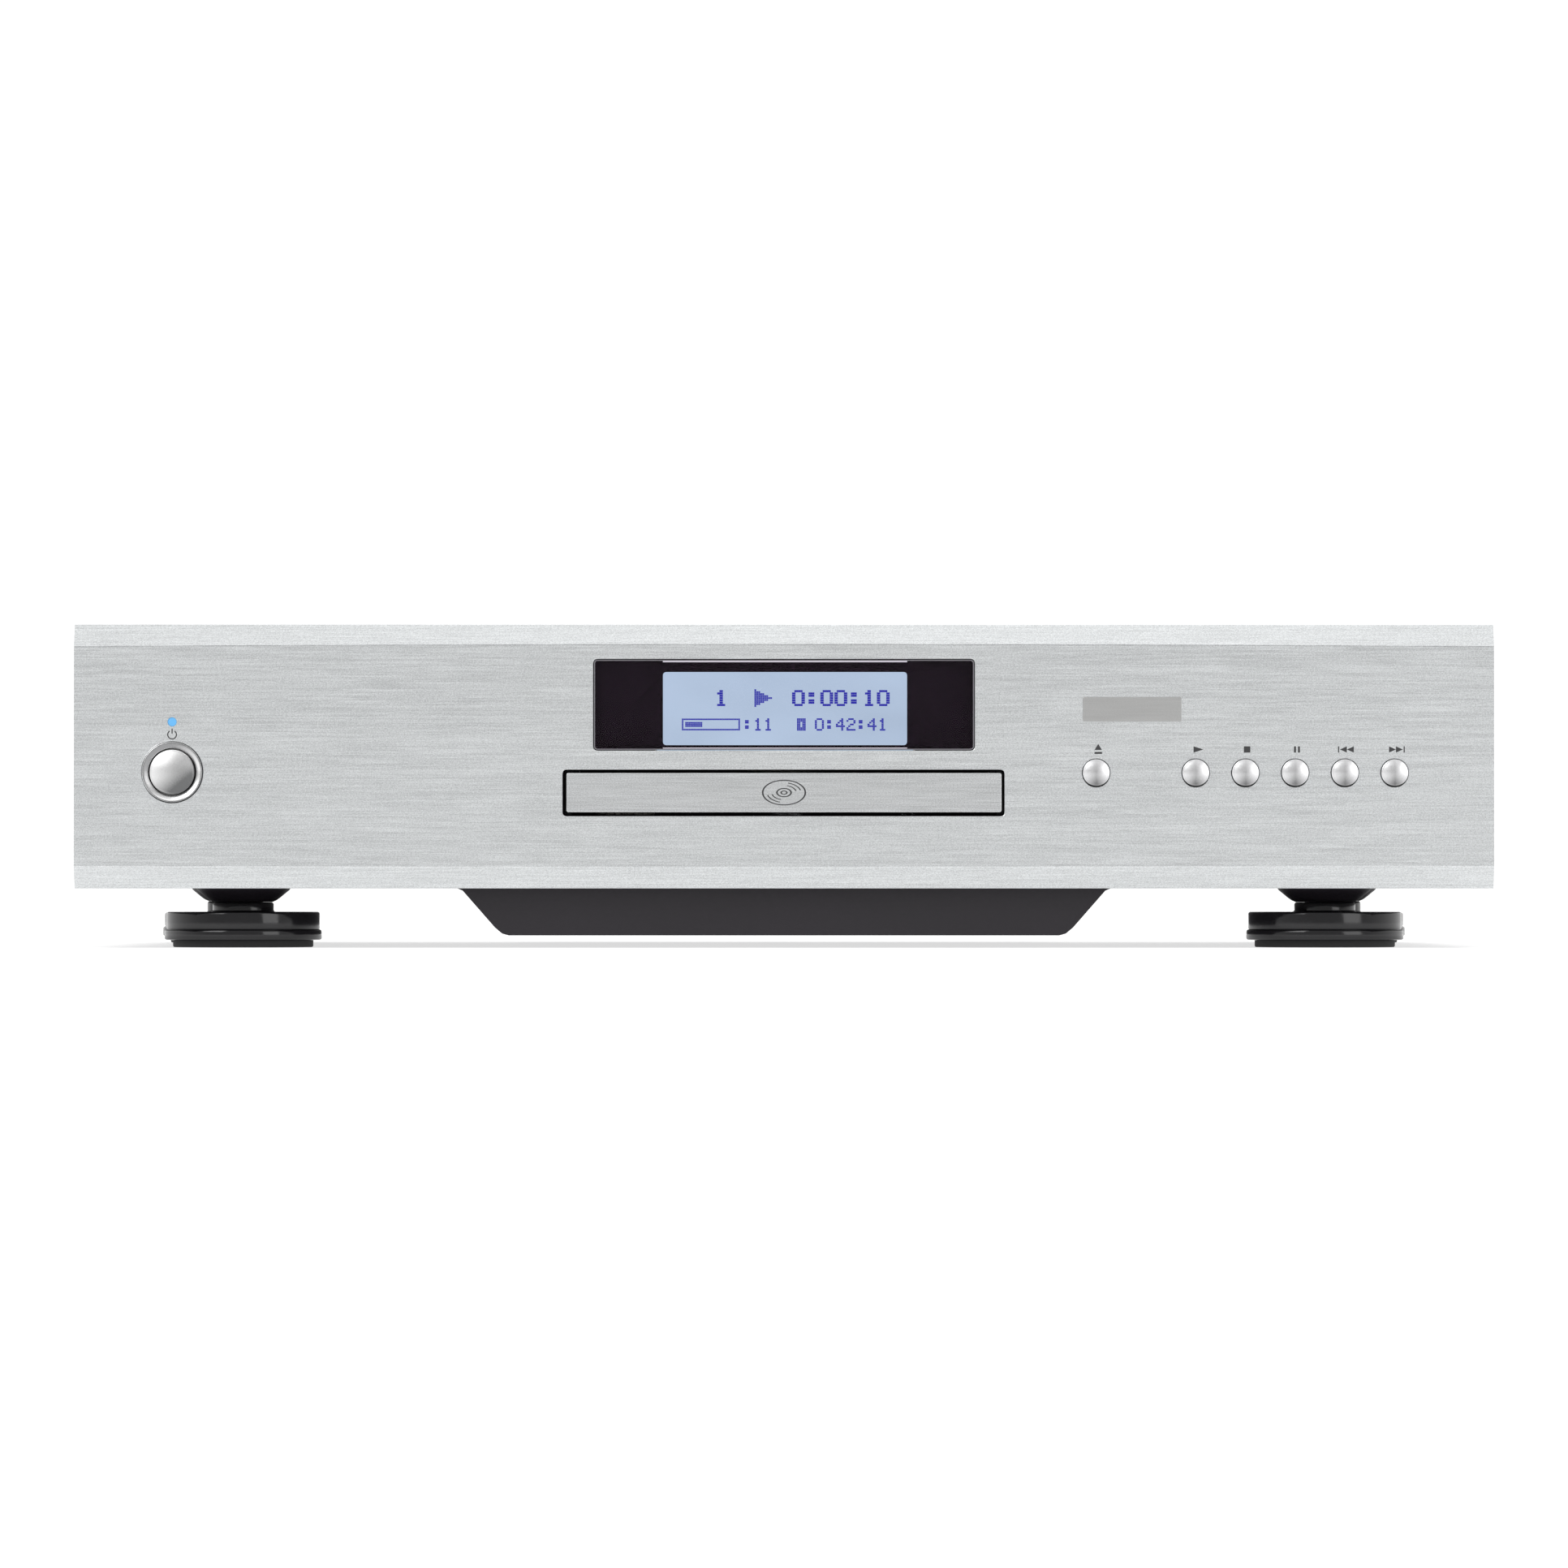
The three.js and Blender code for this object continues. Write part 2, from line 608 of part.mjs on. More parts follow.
function loaderFrame() {
  const y = [-139, 66];
  const wallZ = [8, TRAY.top + 3];
  const base = centredBlock(FRAME_SIDE_X, y, [8, 11]);
  const opening = centredBlock(DECK.halfWidth + 4, [-107, 48], [7, 12]);
  const ledgeEdge = TRAY.halfWidth - 1.6;
  const sides = [-1, 1].flatMap((side) => [
    block(sideSpan(side, GUIDE_X, FRAME_SIDE_X), y, wallZ),
    block(sideSpan(side, ledgeEdge, GUIDE_X + 1), y, [41.2, TRAY.bottom - GAP]),
    block(sideSpan(side, ledgeEdge, GUIDE_X + 1), [-138, -124], [TRAY.top + GAP, wallZ[1]]),
    block(sideSpan(side, ledgeEdge, GUIDE_X + 1), [-20, 0], [TRAY.top + GAP, wallZ[1]]),
  ]);
  // pivot lugs for the traverse, with room for its pins
  const lugs = [-1, 1].map((side) =>
    block(sideSpan(side, DECK.halfWidth + 2.5, GUIDE_X + 1), [PIVOT.y - 5, PIVOT.y + 5], [10, PIVOT.z + 5]),
  );
  const boreX = [-DECK.halfWidth - 9, DECK.halfWidth + 9];
  const pinBores = rod(PIVOT.radius + 0.4, 'x', boreX, [PIVOT.y, PIVOT.z]);
  const motorPad = rod(12, 'z', [10, 13.7], [MOTOR_X, GEAR_Y], 16);
  const posts = [TRAY_GEAR_X, PULLEY_X].map((x) => rod(1.5, 'z', [10, 44], [x, GEAR_Y], 10));
  const feet = [-60, 60].flatMap((x) =>
    [-132, 58].map((footY) => rod(4, 'z', [CHANNEL.z + SHEET + 0.1, 9], [x, footY], 10)),
  );
  const screwBosses = [-60, 60].map((x) => rod(4.5, 'z', [10, 16], [x, 58], 10));
  const shell = cut(join(cut(base, opening), ...sides, ...lugs), pinBores);
  return join(shell, motorPad, ...posts, ...feet, ...screwBosses);
}

function clampBridge() {
  const y = [DISC_Y - 16, DISC_Y + 16];
  const beam = centredBlock(FRAME_SIDE_X, y, [57, 59]);
  const legs = [-1, 1].map((side) => block(sideSpan(side, GUIDE_X + 1, FRAME_SIDE_X), y, [54 + GAP, 58]));
  return cut(join(beam, ...legs), rod(12.3, 'z', [50, 62], [0, DISC_Y], 20));
}

function clampPuck() {
  const profile = [
    [0, 53.4],
    [8, 53.4],
    [8, 52.3],
    [11.5, 52.3],
    [11.5, 59.3],
    [15.5, 59.3],
    [15.5, 61],
    [6, 61],
    [6, 60],
    [0, 60],
  ];
  return turned(profile, 'z', [0, DISC_Y], 20);
}

place('loader_frame', loaderFrame(), MATERIALS.greyPlastic);
place('clamp_bridge', clampBridge(), MATERIALS.galvanised);
place('clamp_puck', clampPuck(), MATERIALS.whitePlastic);

// ---------------------------------------------------------------- traverse, spindle and pickup

const LENS_Y = DISC_Y + 24; // the lens over the disc's first track
const SLED = { y: [LENS_Y - 9, LENS_Y + 17], z: [33, 40.6], halfWidth: 29, travel: 36 };
const SLED_GEAR = { x: 38.6, y: -30, radius: 7 };
const MOTOR_TOP = 45.6;
const FOLLOWER = { radius: 1.5, z: 28.5, y: [-112, DECK.front + 1] };

function traverse() {
  const deck = centredBlock(DECK.halfWidth, [DECK.front, DECK.back], [DECK.bottom, DECK.top]);
  const windowY = [LENS_Y - 10, LENS_Y + 10 + SLED.travel];
  const window = centredBlock(20, windowY, [DECK.bottom - 1, DECK.top + 1]);
  const rodEnds = [ROD.y[0] + 2, ROD.y[1] - 2].flatMap((y) =>
    [-1, 1].map((side) =>
      block([side * ROD.x - 2.7, side * ROD.x + 2.7], [y - 1.6, y + 1.6], [DECK.top - 1, ROD.z + 3.5]),
    ),
  );
  const rodBores = [-ROD.x, ROD.x].map((x) =>
    rod(ROD.radius + 0.15, 'y', [DECK.front, DECK.back], [x, ROD.z]),
  );
  const pins = [-1, 1].map((side) =>
    rod(PIVOT.radius, 'x', sideSpan(side, DECK.halfWidth - 2, DECK.halfWidth + 8), [PIVOT.y, PIVOT.z]),
  );
  const follower = rod(FOLLOWER.radius, 'y', FOLLOWER.y, [0, FOLLOWER.z], 10);
  const gearPost = rod(1.4, 'z', [DECK.top - 1, 39], [SLED_GEAR.x, SLED_GEAR.y], 10);
  const frame = cut(join(cut(deck, window), ...rodEnds), ...rodBores);
  return join(frame, ...pins, follower, gearPost);
}

function spindleMotor() {
  const profile = [
    [0, DECK.top + 0.1],
    [11.5, DECK.top + 0.1],
    [12.5, DECK.top + 1],
    [12.5, MOTOR_TOP - 1],
    [11.5, MOTOR_TOP],
    [0, MOTOR_TOP],
  ];
  return turned(profile, 'z', [0, DISC_Y], 20);
}

function spindleHub() {
  const profile = [
    [0, MOTOR_TOP + 0.4],
    [4, MOTOR_TOP + 0.4],
    [4, 47],
    [13.5, 47],
    [13.5, 49],
    [7.4, 49],
    [7.3, 50.2],
    [5.2, 51.8],
    [0, 51.8],
  ];
  return turned(profile, 'z', [0, DISC_Y], 20);
}

function pickupSled() {
  const body = centredBlock(SLED.halfWidth, SLED.y, SLED.z);
  const underside = centredBlock(17, [LENS_Y - 9, LENS_Y + 9], [28, 34]);
  const turret = centredBlock(11, [LENS_Y - 9, LENS_Y + 9], [40, 44]);
  const lensWell = rod(4.6, 'z', [38, 50], [0, LENS_Y]);
  const boreY = [SLED.y[0] - 1, SLED.y[1] + 1];
  const bores = [-1, 1].map((side) => rod(ROD.radius + 0.3, 'y', boreY, [side * ROD.x, ROD.z]));
  const rackX = [SLED.halfWidth - 0.8, SLED_GEAR.x - SLED_GEAR.radius - GAP];
  const rack = block(rackX, [LENS_Y - 8, LENS_Y + 40], [33, 36.5]);
  return cut(join(body, underside, turret, rack), lensWell, ...bores);
}

function pickupLens() {
  const profile = [
    [0, 42],
    [3.8, 42],
    [3.8, 44.6],
    [2.4, 45],
    [1.2, 45.5],
    [0, 45.7],
  ];
  return turned(profile, 'z', [0, LENS_Y], 14);
}

function sledGear() {
  const teeth = extruded(gearOutline(SLED_GEAR.x, SLED_GEAR.y, 6, SLED_GEAR.radius, 22), 'z', [33, 36]);
  const rim = rod(4, 'z', [31, 38], [SLED_GEAR.x, SLED_GEAR.y]);
  return cut(join(teeth, rim), rod(1.7, 'z', [30, 40], [SLED_GEAR.x, SLED_GEAR.y]));
}

// the follower pin's straight slanting slot, in a plate that slides left and right
function camSlider() {
  const y = [DECK.front - 5.8, DECK.front - 3];
  const plate = block([-34, 12], y, [12, 33]);
  const half = FOLLOWER.radius + 0.7;
  const slant = Math.atan2(CAM_DROP, CAM_TRAVEL);
  const length = Math.hypot(CAM_DROP, CAM_TRAVEL);
  const slot = roundedRectangle(-length / 2, 0, length + 2 * half, 2 * half, half - 0.01);
  const geometry = new THREE.ExtrudeGeometry(slot, { depth: 8, bevelEnabled: false, curveSegments: 4 });
  geometry.rotateZ(slant).rotateX(Math.PI / 2).translate(0, y[1] + 3, FOLLOWER.z);
  return cut(plate, toSolid(geometry));
}

place('traverse', traverse(), MATERIALS.greyPlastic);
place('spindle_motor', spindleMotor(), MATERIALS.polishedSteel);
place('spindle_hub', spindleHub(), MATERIALS.blackPlastic);
place('pickup_sled', pickupSled(), MATERIALS.greyPlastic);
place('pickup_lens', pickupLens(), MATERIALS.lens);
for (const [side, x] of [['left', -ROD.x], ['right', ROD.x]]) {
  const guide = rod(ROD.radius, 'y', ROD.y, [x, ROD.z]);
  place(`guide_rod_${side}`, guide, MATERIALS.polishedSteel);
}
place('sled_motor', rod(7, 'z', [DECK.top + 0.1, 42], [40, -62], 14), MATERIALS.polishedSteel);
place('sled_gear', sledGear(), MATERIALS.whitePlastic);
place('cam_slider', camSlider(), MATERIALS.whitePlastic);

// ---------------------------------------------------------------- loading drive

const BELT_Z = 34.7;

// a grooved wheel whose groove takes the belt at the height BELT_Z
function groovedWheel(x, radius, segments) {
  const profile = [
    [0, BELT_Z - 1.9],
    [radius, BELT_Z - 1.9],
    [radius, BELT_Z - 1.2],
    [radius - 1.4, BELT_Z - 0.5],
    [radius - 1.4, BELT_Z + 0.5],
    [radius, BELT_Z + 1.2],
    [radius, BELT_Z + 1.9],
    [0, BELT_Z + 1.9],
  ];
  return turned(profile, 'z', [x, GEAR_Y], segments);
}

function loadingMotor() {
  const can = rod(10.5, 'z', [14, 31], [MOTOR_X, GEAR_Y], 16);
  return join(can, rod(1, 'z', [30, 32.3], [MOTOR_X, GEAR_Y], 8));
}

function drivePulley() {
  const outline = gearOutline(PULLEY_X, GEAR_Y, 4.2, PULLEY_PINION_RADIUS, 12);
  const pinion = extruded(outline, 'z', [BELT_Z + 1, 40.4]);
  const wheel = groovedWheel(PULLEY_X, PULLEY_RADIUS, 24);
  return cut(join(wheel, pinion), rod(1.8, 'z', [20, 50], [PULLEY_X, GEAR_Y]));
}

function trayGear() {
  const wheel = extruded(gearOutline(TRAY_GEAR_X, GEAR_Y, 13, WHEEL_RADIUS, 34), 'z', [37.6, 40.4]);
  const pinion = extruded(gearOutline(TRAY_GEAR_X, GEAR_Y, 7.8, PINION_RADIUS, 20), 'z', [40, 44.4]);
  return cut(join(wheel, pinion), rod(1.8, 'z', [20, 50], [TRAY_GEAR_X, GEAR_Y]));
}

// the outline of a belt round both pulleys, at a distance outside their grooves
function beltOutline(offset) {
  const big = PULLEY_RADIUS - 1.4 + offset;
  const small = MOTOR_PULLEY_RADIUS - 1.4 + offset;
  const lean = Math.asin((big - small) / (MOTOR_X - PULLEY_X));
  const shape = new THREE.Shape();
  shape.absarc(PULLEY_X, GEAR_Y, big, Math.PI / 2 - lean, 1.5 * Math.PI + lean);
  shape.absarc(MOTOR_X, GEAR_Y, small, -Math.PI / 2 + lean, Math.PI / 2 - lean);
  return shape;
}

function loadingBelt() {
  const outside = extruded(beltOutline(1.2), 'z', [BELT_Z - 0.45, BELT_Z + 0.45], 10);
  return cut(outside, extruded(beltOutline(0.3), 'z', [BELT_Z - 2, BELT_Z + 2], 10));
}

place('loading_motor', loadingMotor(), MATERIALS.polishedSteel);
place('motor_pulley', groovedWheel(MOTOR_X, MOTOR_PULLEY_RADIUS, 14), MATERIALS.brass);
place('loading_belt', loadingBelt(), MATERIALS.rubber);
place('drive_pulley', drivePulley(), MATERIALS.whitePlastic);
place('tray_gear', trayGear(), MATERIALS.whitePlastic);

// ---------------------------------------------------------------- power supply and electronics

const TRANSFORMER = { x: -155, y: -86, halfWidth: 33, halfDepth: 20, bottom: 20.5, height: 54 };
const CORE_LEG = 11;
const PAN_FLOOR = PANEL_BOTTOM + SHEET;

function transformerCore() {
  const { x, y, halfWidth, halfDepth, bottom, height } = TRANSFORMER;
  const top = bottom + height;
  const stack = block([x - halfWidth, x + halfWidth], [y - halfDepth, y + halfDepth], [bottom, top]);
  const windows = [-1, 1].map((side) => {
    const span = sideSpan(side, CORE_LEG, 2 * CORE_LEG).map((edge) => x + edge);
    return block(span, [y - halfDepth - 1, y + halfDepth + 1], [bottom + CORE_LEG, top - CORE_LEG]);
  });
  const plate = block([x - 44, x + 44], [y - 15, y + 15], [PAN_FLOOR + 0.1, bottom + 1]);
  return join(cut(stack, ...windows), plate);
}

function transformerWinding() {
  const { x, y, halfDepth, bottom, height } = TRANSFORMER;
  const z = [bottom + CORE_LEG + 0.5, bottom + height - CORE_LEG - 0.5];
  const halfSpan = 2 * CORE_LEG - 0.4;
  const bobbin = block([x - halfSpan, x + halfSpan], [y - halfDepth - 9, y + halfDepth + 9], z);
  const hole = block(
    [x - CORE_LEG - 0.4, x + CORE_LEG + 0.4],
    [y - halfDepth - 0.4, y + halfDepth + 0.4],
    [z[0] - 1, z[1] + 1],
  );
  return cut(bobbin, hole);
}

function circuitBoard({ x, y }) {
  const plate = block(x, y, [BOARD_Z, BOARD_Z + BOARD]);
  const holes = boardPosts({ x, y }).map((post) => rod(1.6, 'z', [BOARD_Z - 1, BOARD_Z + 3], post, 8));
  return cut(plate, ...holes);
}

const BOARD_TOP = BOARD_Z + BOARD;

function heatsink() {
  const base = block([-196, -140], [10, 13], [BOARD_TOP + 0.1, 66]);
  const fins = spread(-194, 7.4, 8).map((x) => block([x - 0.8, x + 0.8], [12, 28], [BOARD_TOP + 0.1, 66]));
  return join(base, ...fins);
}

function smoothingCapacitor() {
  const z = [BOARD_TOP + 0.1, 62];
  const profile = [
    [0, z[0]],
    [9, z[0]],
    [9, z[0] + 3],
    [8.6, z[0] + 3.8],
    [9, z[0] + 4.6],
    [9, z[1] - 0.8],
    [8.3, z[1]],
    [0, z[1]],
  ];
  return turned(profile, 'z', [0, 0], 14);
}

function outputJack(x) {
  const face = REAR_OUTER_Y + 0.1;
  const profile = [
    [0, REAR_Y - 6],
    [3.5, REAR_Y - 6],
    [3.5, face],
    [5.8, face],
    [5.8, face + 1.6],
    [4.15, face + 1.6],
    [4.15, DEPTH / 2],
    [1.7, DEPTH / 2],
    [1.7, DEPTH / 2 - 7],
    [0, DEPTH / 2 - 7],
  ];
  return turned(profile, 'y', [x, JACKS.z], 12);
}

function powerInlet() {
  const { x, z, width, height } = INLET;
  const face = REAR_OUTER_Y + 0.1;
  const flange = roundedSlab({ x, z, width: width + 5, height: height + 5, radius: 2 }, [face, face + 2.4]);
  const body = roundedSlab({ ...INLET, radius: 1 }, [face - 17, face + 1]);
  const mouth = { x, z, width: width - 4, height: height - 4, radius: 2 };
  const cavity = roundedSlab(mouth, [face - 14.5, face + 3]);
  const blades = [[-7, -2], [0, 3.4], [7, -2]].map(([dx, dz]) =>
    block([x + dx - 1, x + dx + 1], [face - 15.5, face + 0.5], [z + dz - 2, z + dz + 2]),
  );
  const tabs = [x - 6, x + 6].map((tabX) =>
    block([tabX - 2.5, tabX + 2.5], [face - 23, face - 16], [z - 0.4, z + 0.4]),
  );
  return join(cut(join(flange, body), cavity), ...blades, ...tabs);
}

place('transformer_core', transformerCore(), MATERIALS.laminations);
place('transformer_winding', transformerWinding(), MATERIALS.copperWinding);
place('power_board', circuitBoard(POWER_BOARD), MATERIALS.circuitBoard);
place('main_board', circuitBoard(MAIN_BOARD), MATERIALS.circuitBoard);
place('heatsink', heatsink(), MATERIALS.galvanised);
place('capacitor_left', smoothingCapacitor(), MATERIALS.capacitorSleeve, [-186, 60, 0]);
place('capacitor_right', smoothingCapacitor(), MATERIALS.capacitorSleeve, [-162, 60, 0]);
place('left_output_jack', outputJack(JACKS.analogX[0]), MATERIALS.brass);
place('right_output_jack', outputJack(JACKS.analogX[1]), MATERIALS.brass);
place('digital_output_jack', outputJack(JACKS.digitalX), MATERIALS.brass);
place('power_inlet', powerInlet(), MATERIALS.blackPlastic);

export default player;
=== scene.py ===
"""Slim silver hi-fi CD player: the visible pieces and materials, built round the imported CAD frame.

Shapes are drawn in millimetres in the frame's own axes (X right, front faces -Y, Z up) and are
scaled to metres when they become a piece.
"""
import math

import bmesh
import bpy
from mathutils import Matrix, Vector


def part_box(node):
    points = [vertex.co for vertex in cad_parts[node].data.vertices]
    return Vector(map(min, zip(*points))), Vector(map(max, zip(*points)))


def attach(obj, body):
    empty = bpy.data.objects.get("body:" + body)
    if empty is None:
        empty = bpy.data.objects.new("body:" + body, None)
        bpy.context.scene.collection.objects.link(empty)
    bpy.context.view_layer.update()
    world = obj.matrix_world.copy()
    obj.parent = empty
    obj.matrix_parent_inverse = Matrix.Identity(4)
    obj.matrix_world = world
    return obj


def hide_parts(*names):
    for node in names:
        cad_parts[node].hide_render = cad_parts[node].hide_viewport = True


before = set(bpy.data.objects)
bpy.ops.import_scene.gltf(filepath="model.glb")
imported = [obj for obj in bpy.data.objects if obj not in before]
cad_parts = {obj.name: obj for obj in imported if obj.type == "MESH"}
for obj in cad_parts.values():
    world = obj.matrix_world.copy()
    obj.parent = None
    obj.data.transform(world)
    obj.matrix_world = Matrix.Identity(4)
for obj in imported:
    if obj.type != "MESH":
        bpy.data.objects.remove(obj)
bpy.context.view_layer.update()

MM = 0.001
SHARP_ANGLE = math.radians(35)  # edges sharper than this stay sharp on a smooth piece
AXES = {"x": (1, 2, 0), "y": (0, 2, 1), "z": (0, 1, 2)}  # the drawing's two axes, then its depth


def span(node):
    """A CAD node's lowest and highest corners, in millimetres."""
    low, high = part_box(node)
    return low / MM, high / MM


def middle(node):
    low, high = span(node)
    return (low + high) / 2


def depths(node):
    """The Y of a node's front and of its back."""
    return [corner.y for corner in span(node)]


# ---- outlines


def rounded(points, radius, steps=5):
    """A closed outline with each corner rounded, as far as its shorter side allows."""
    corners = [Vector(point) for point in points]
    outline = []
    for i, corner in enumerate(corners):
        before, after = corners[i - 1], corners[(i + 1) % len(corners)]
        inward, outward = (before - corner), (after - corner)
        angle = inward.angle(outward)
        reach = min(radius / math.tan(angle / 2), inward.length / 2.01, outward.length / 2.01)
        start, end = corner + inward.normalized() * reach, corner + outward.normalized() * reach
        for step in range(steps + 1):
            t = step / steps
            outline.append(start * (1 - t) ** 2 + corner * (2 * t * (1 - t)) + end * t**2)
    return [tuple(point) for point in outline]


def rectangle(x, y, width, height, radius=0.0, steps=5):
    left, right, low, high = x - width / 2, x + width / 2, y - height / 2, y + height / 2
    corners = [(left, low), (right, low), (right, high), (left, high)]
    return rounded(corners, radius, steps) if radius else corners


def arc(x, y, radius, start, end, steps=24):
    """Points on an arc between two angles in degrees."""
    turn = [math.radians(start + (end - start) * i / steps) for i in range(steps + 1)]
    return [(x + radius * math.cos(a), y + radius * math.sin(a)) for a in turn]


def circle(x, y, radius, steps=48):
    return arc(x, y, radius, 0, 360, steps)[:-1]


def band(x, y, outer, inner, start, end):
    """A curved band between two radii, as one closed outline."""
    return arc(x, y, outer, start, end) + arc(x, y, inner, end, start)


def sheet_section(path, thickness):
    """The closed section of a folded sheet whose outer side follows an open path."""
    points = [Vector(point) for point in path]
    inside = []
    for i, point in enumerate(points):
        into = (point - points[i - 1]).normalized() if i else None
        away = (points[i + 1] - point).normalized() if i < len(points) - 1 else None
        sides = [Vector((-d.y, d.x)) for d in (into, away) if d is not None]
        normal = sum(sides, Vector((0, 0))).normalized()
        inside.append(point + normal * thickness / max(normal.dot(sides[0]), 0.3))
    return [tuple(p) for p in points] + [tuple(p) for p in reversed(inside)]


# ---- solids


def extrude(outline, axis, low, high, holes=()):
    """A closed outline with holes, drawn across an axis and extruded along it."""
    u, v, depth = AXES[axis]
    bm = bmesh.new()

    def corner(point):
        place = [0.0, 0.0, 0.0]
        place[u], place[v], place[depth] = point[0], point[1], low
        return bm.verts.new(place)

    edges = []
    for loop in (outline, *holes):
        verts = [corner(point) for point in loop]
        edges += [bm.edges.new((verts[i - 1], verts[i])) for i in range(len(verts))]
    if holes:
        bmesh.ops.triangle_fill(bm, use_beauty=True, edges=edges)
    else:
        bmesh.ops.contextual_create(bm, geom=edges)
    grown = bmesh.ops.extrude_face_region(bm, geom=bm.faces[:])["geom"]
    moved = [item for item in grown if isinstance(item, bmesh.types.BMVert)]
    offset = [0.0, 0.0, 0.0]
    offset[depth] = high - low
    bmesh.ops.translate(bm, verts=moved, vec=offset)
    bmesh.ops.recalc_face_normals(bm, faces=bm.faces)
    return bm


def block(low, high):
    """A box between two corners."""
    outline = [(low[0], low[1]), (high[0], low[1]), (high[0], high[1]), (low[0], high[1])]
    return extrude(outline, "z", low[2], high[2])


def revolve(profile, axis, centre, segments):
    """A profile of (radius, height) turned about an axis through a point."""
    u, v, depth = AXES[axis]
    bm = bmesh.new()
    rings = []
    for radius, height in profile:
        steps = segments if radius else 1
        ring = []
        for i in range(steps):
            angle = 2 * math.pi * i / segments
            place = [0.0, 0.0, 0.0]
            place[u] = centre[u] + radius * math.cos(angle)
            place[v] = centre[v] + radius * math.sin(angle)
            place[depth] = height
            ring.append(bm.verts.new(place))
        rings.append(ring)
    closed = profile[0][0] and profile[-1][0]
    pairs = list(zip(rings, rings[1:])) + ([(rings[-1], rings[0])] if closed else [])
    for first, second in pairs:
        for i in range(segments):
            j = (i + 1) % segments
            corners = [first[i % len(first)], first[j % len(first)]]
            corners += [second[j % len(second)], second[i % len(second)]]
            unique = list(dict.fromkeys(corners))
            if len(unique) > 2:
                bm.faces.new(unique)
    bmesh.ops.recalc_face_normals(bm, faces=bm.faces)
    return bm


def merged(*parts):
    """Several solids in one mesh, side by side."""
    whole = bmesh.new()
    scratch = bpy.data.meshes.new("scratch")
    for part in parts:
        part.to_mesh(scratch)
        part.free()
        whole.from_mesh(scratch)
    bpy.data.meshes.remove(scratch)
    return whole


def add_object(name, data):
    obj = bpy.data.objects.new(name, data)
    bpy.context.scene.collection.objects.link(obj)
    return obj


def combined(target, other, operation):
    """A boolean of two meshes, as a new mesh."""
    objects = []
    for part in (target, other):
        mesh = bpy.data.meshes.new("scratch")
        part.to_mesh(mesh)
        part.free()
        objects.append(add_object("scratch", mesh))
    modifier = objects[0].modifiers.new("combine", "BOOLEAN")
    modifier.operation = operation
    modifier.solver = "EXACT"
    modifier.use_self = True
    modifier.object = objects[1]
    evaluated = objects[0].evaluated_get(bpy.context.evaluated_depsgraph_get())
    result = bmesh.new()
    result.from_mesh(evaluated.to_mesh())
    evaluated.to_mesh_clear()
    for obj in objects:
        mesh = obj.data
        bpy.data.objects.remove(obj)
        bpy.data.meshes.remove(mesh)
    return result


def carved(target, *cutters):
    return combined(target, merged(*cutters), "DIFFERENCE")


def fused(target, *others):
    return combined(target, merged(*others), "UNION")


# ---- pieces


def soften(obj, bevel):
    modifier = obj.modifiers.new("edges", "BEVEL")
    modifier.width = bevel * MM
    modifier.segments = 2
    modifier.limit_method = "ANGLE"
    modifier.angle_limit = math.radians(24)
    modifier.harden_normals = True


def smooth_mesh(name, bm, material):
    """A smooth mesh in metres from one drawn in millimetres."""
    bmesh.ops.scale(bm, vec=(MM, MM, MM), verts=bm.verts)
    mesh = bpy.data.meshes.new(name)
    bm.to_mesh(mesh)
    bm.free()
    mesh.materials.append(material)
    mesh.shade_smooth()
    return mesh


def piece(name, bm, material, body="case", replaces=None, bevel=0.0, flat=False):
    """Turns a mesh drawn in millimetres into a piece that rides on a body."""
    mesh = smooth_mesh(name, bm, material)
    obj = add_object(name, mesh)
    if flat:
        mesh.shade_flat()
    elif bevel:
        soften(obj, bevel)
    else:
        mesh.set_sharp_from_angle(angle=SHARP_ANGLE)
    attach(obj, body)
    if replaces:
        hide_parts(replaces)


def finish_node(node, material, bevel):
    """A CAD node that keeps its shape gets its material, and soft edges unless bevel is 0."""
    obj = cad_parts[node]
    obj.data.materials.clear()
    obj.data.materials.append(material)
    weld = obj.modifiers.new("weld", "WELD")
    weld.merge_threshold = 1e-6
    flat = obj.modifiers.new("flat", "DECIMATE")
    flat.decimate_type = "DISSOLVE"
    flat.angle_limit = math.radians(1)
    if bevel:
        obj.data.shade_smooth()
        soften(obj, bevel)
    else:
        obj.data.shade_flat()


# ---- materials

MIDDLE = (0.3, 0.7)  # where most of a noise's values lie


def add_node(tree, kind, inputs=(), **settings):
    """A shader node with its settings; each input is a constant or another node's output."""
    node = tree.nodes.new(f"ShaderNode{kind}")
    for name, value in settings.items():
        setattr(node, name, value)
    for socket, value in dict(inputs).items():
        if isinstance(value, bpy.types.NodeSocket):
            tree.links.new(value, node.inputs[socket])
        else:
            node.inputs[socket].default_value = value
    return node


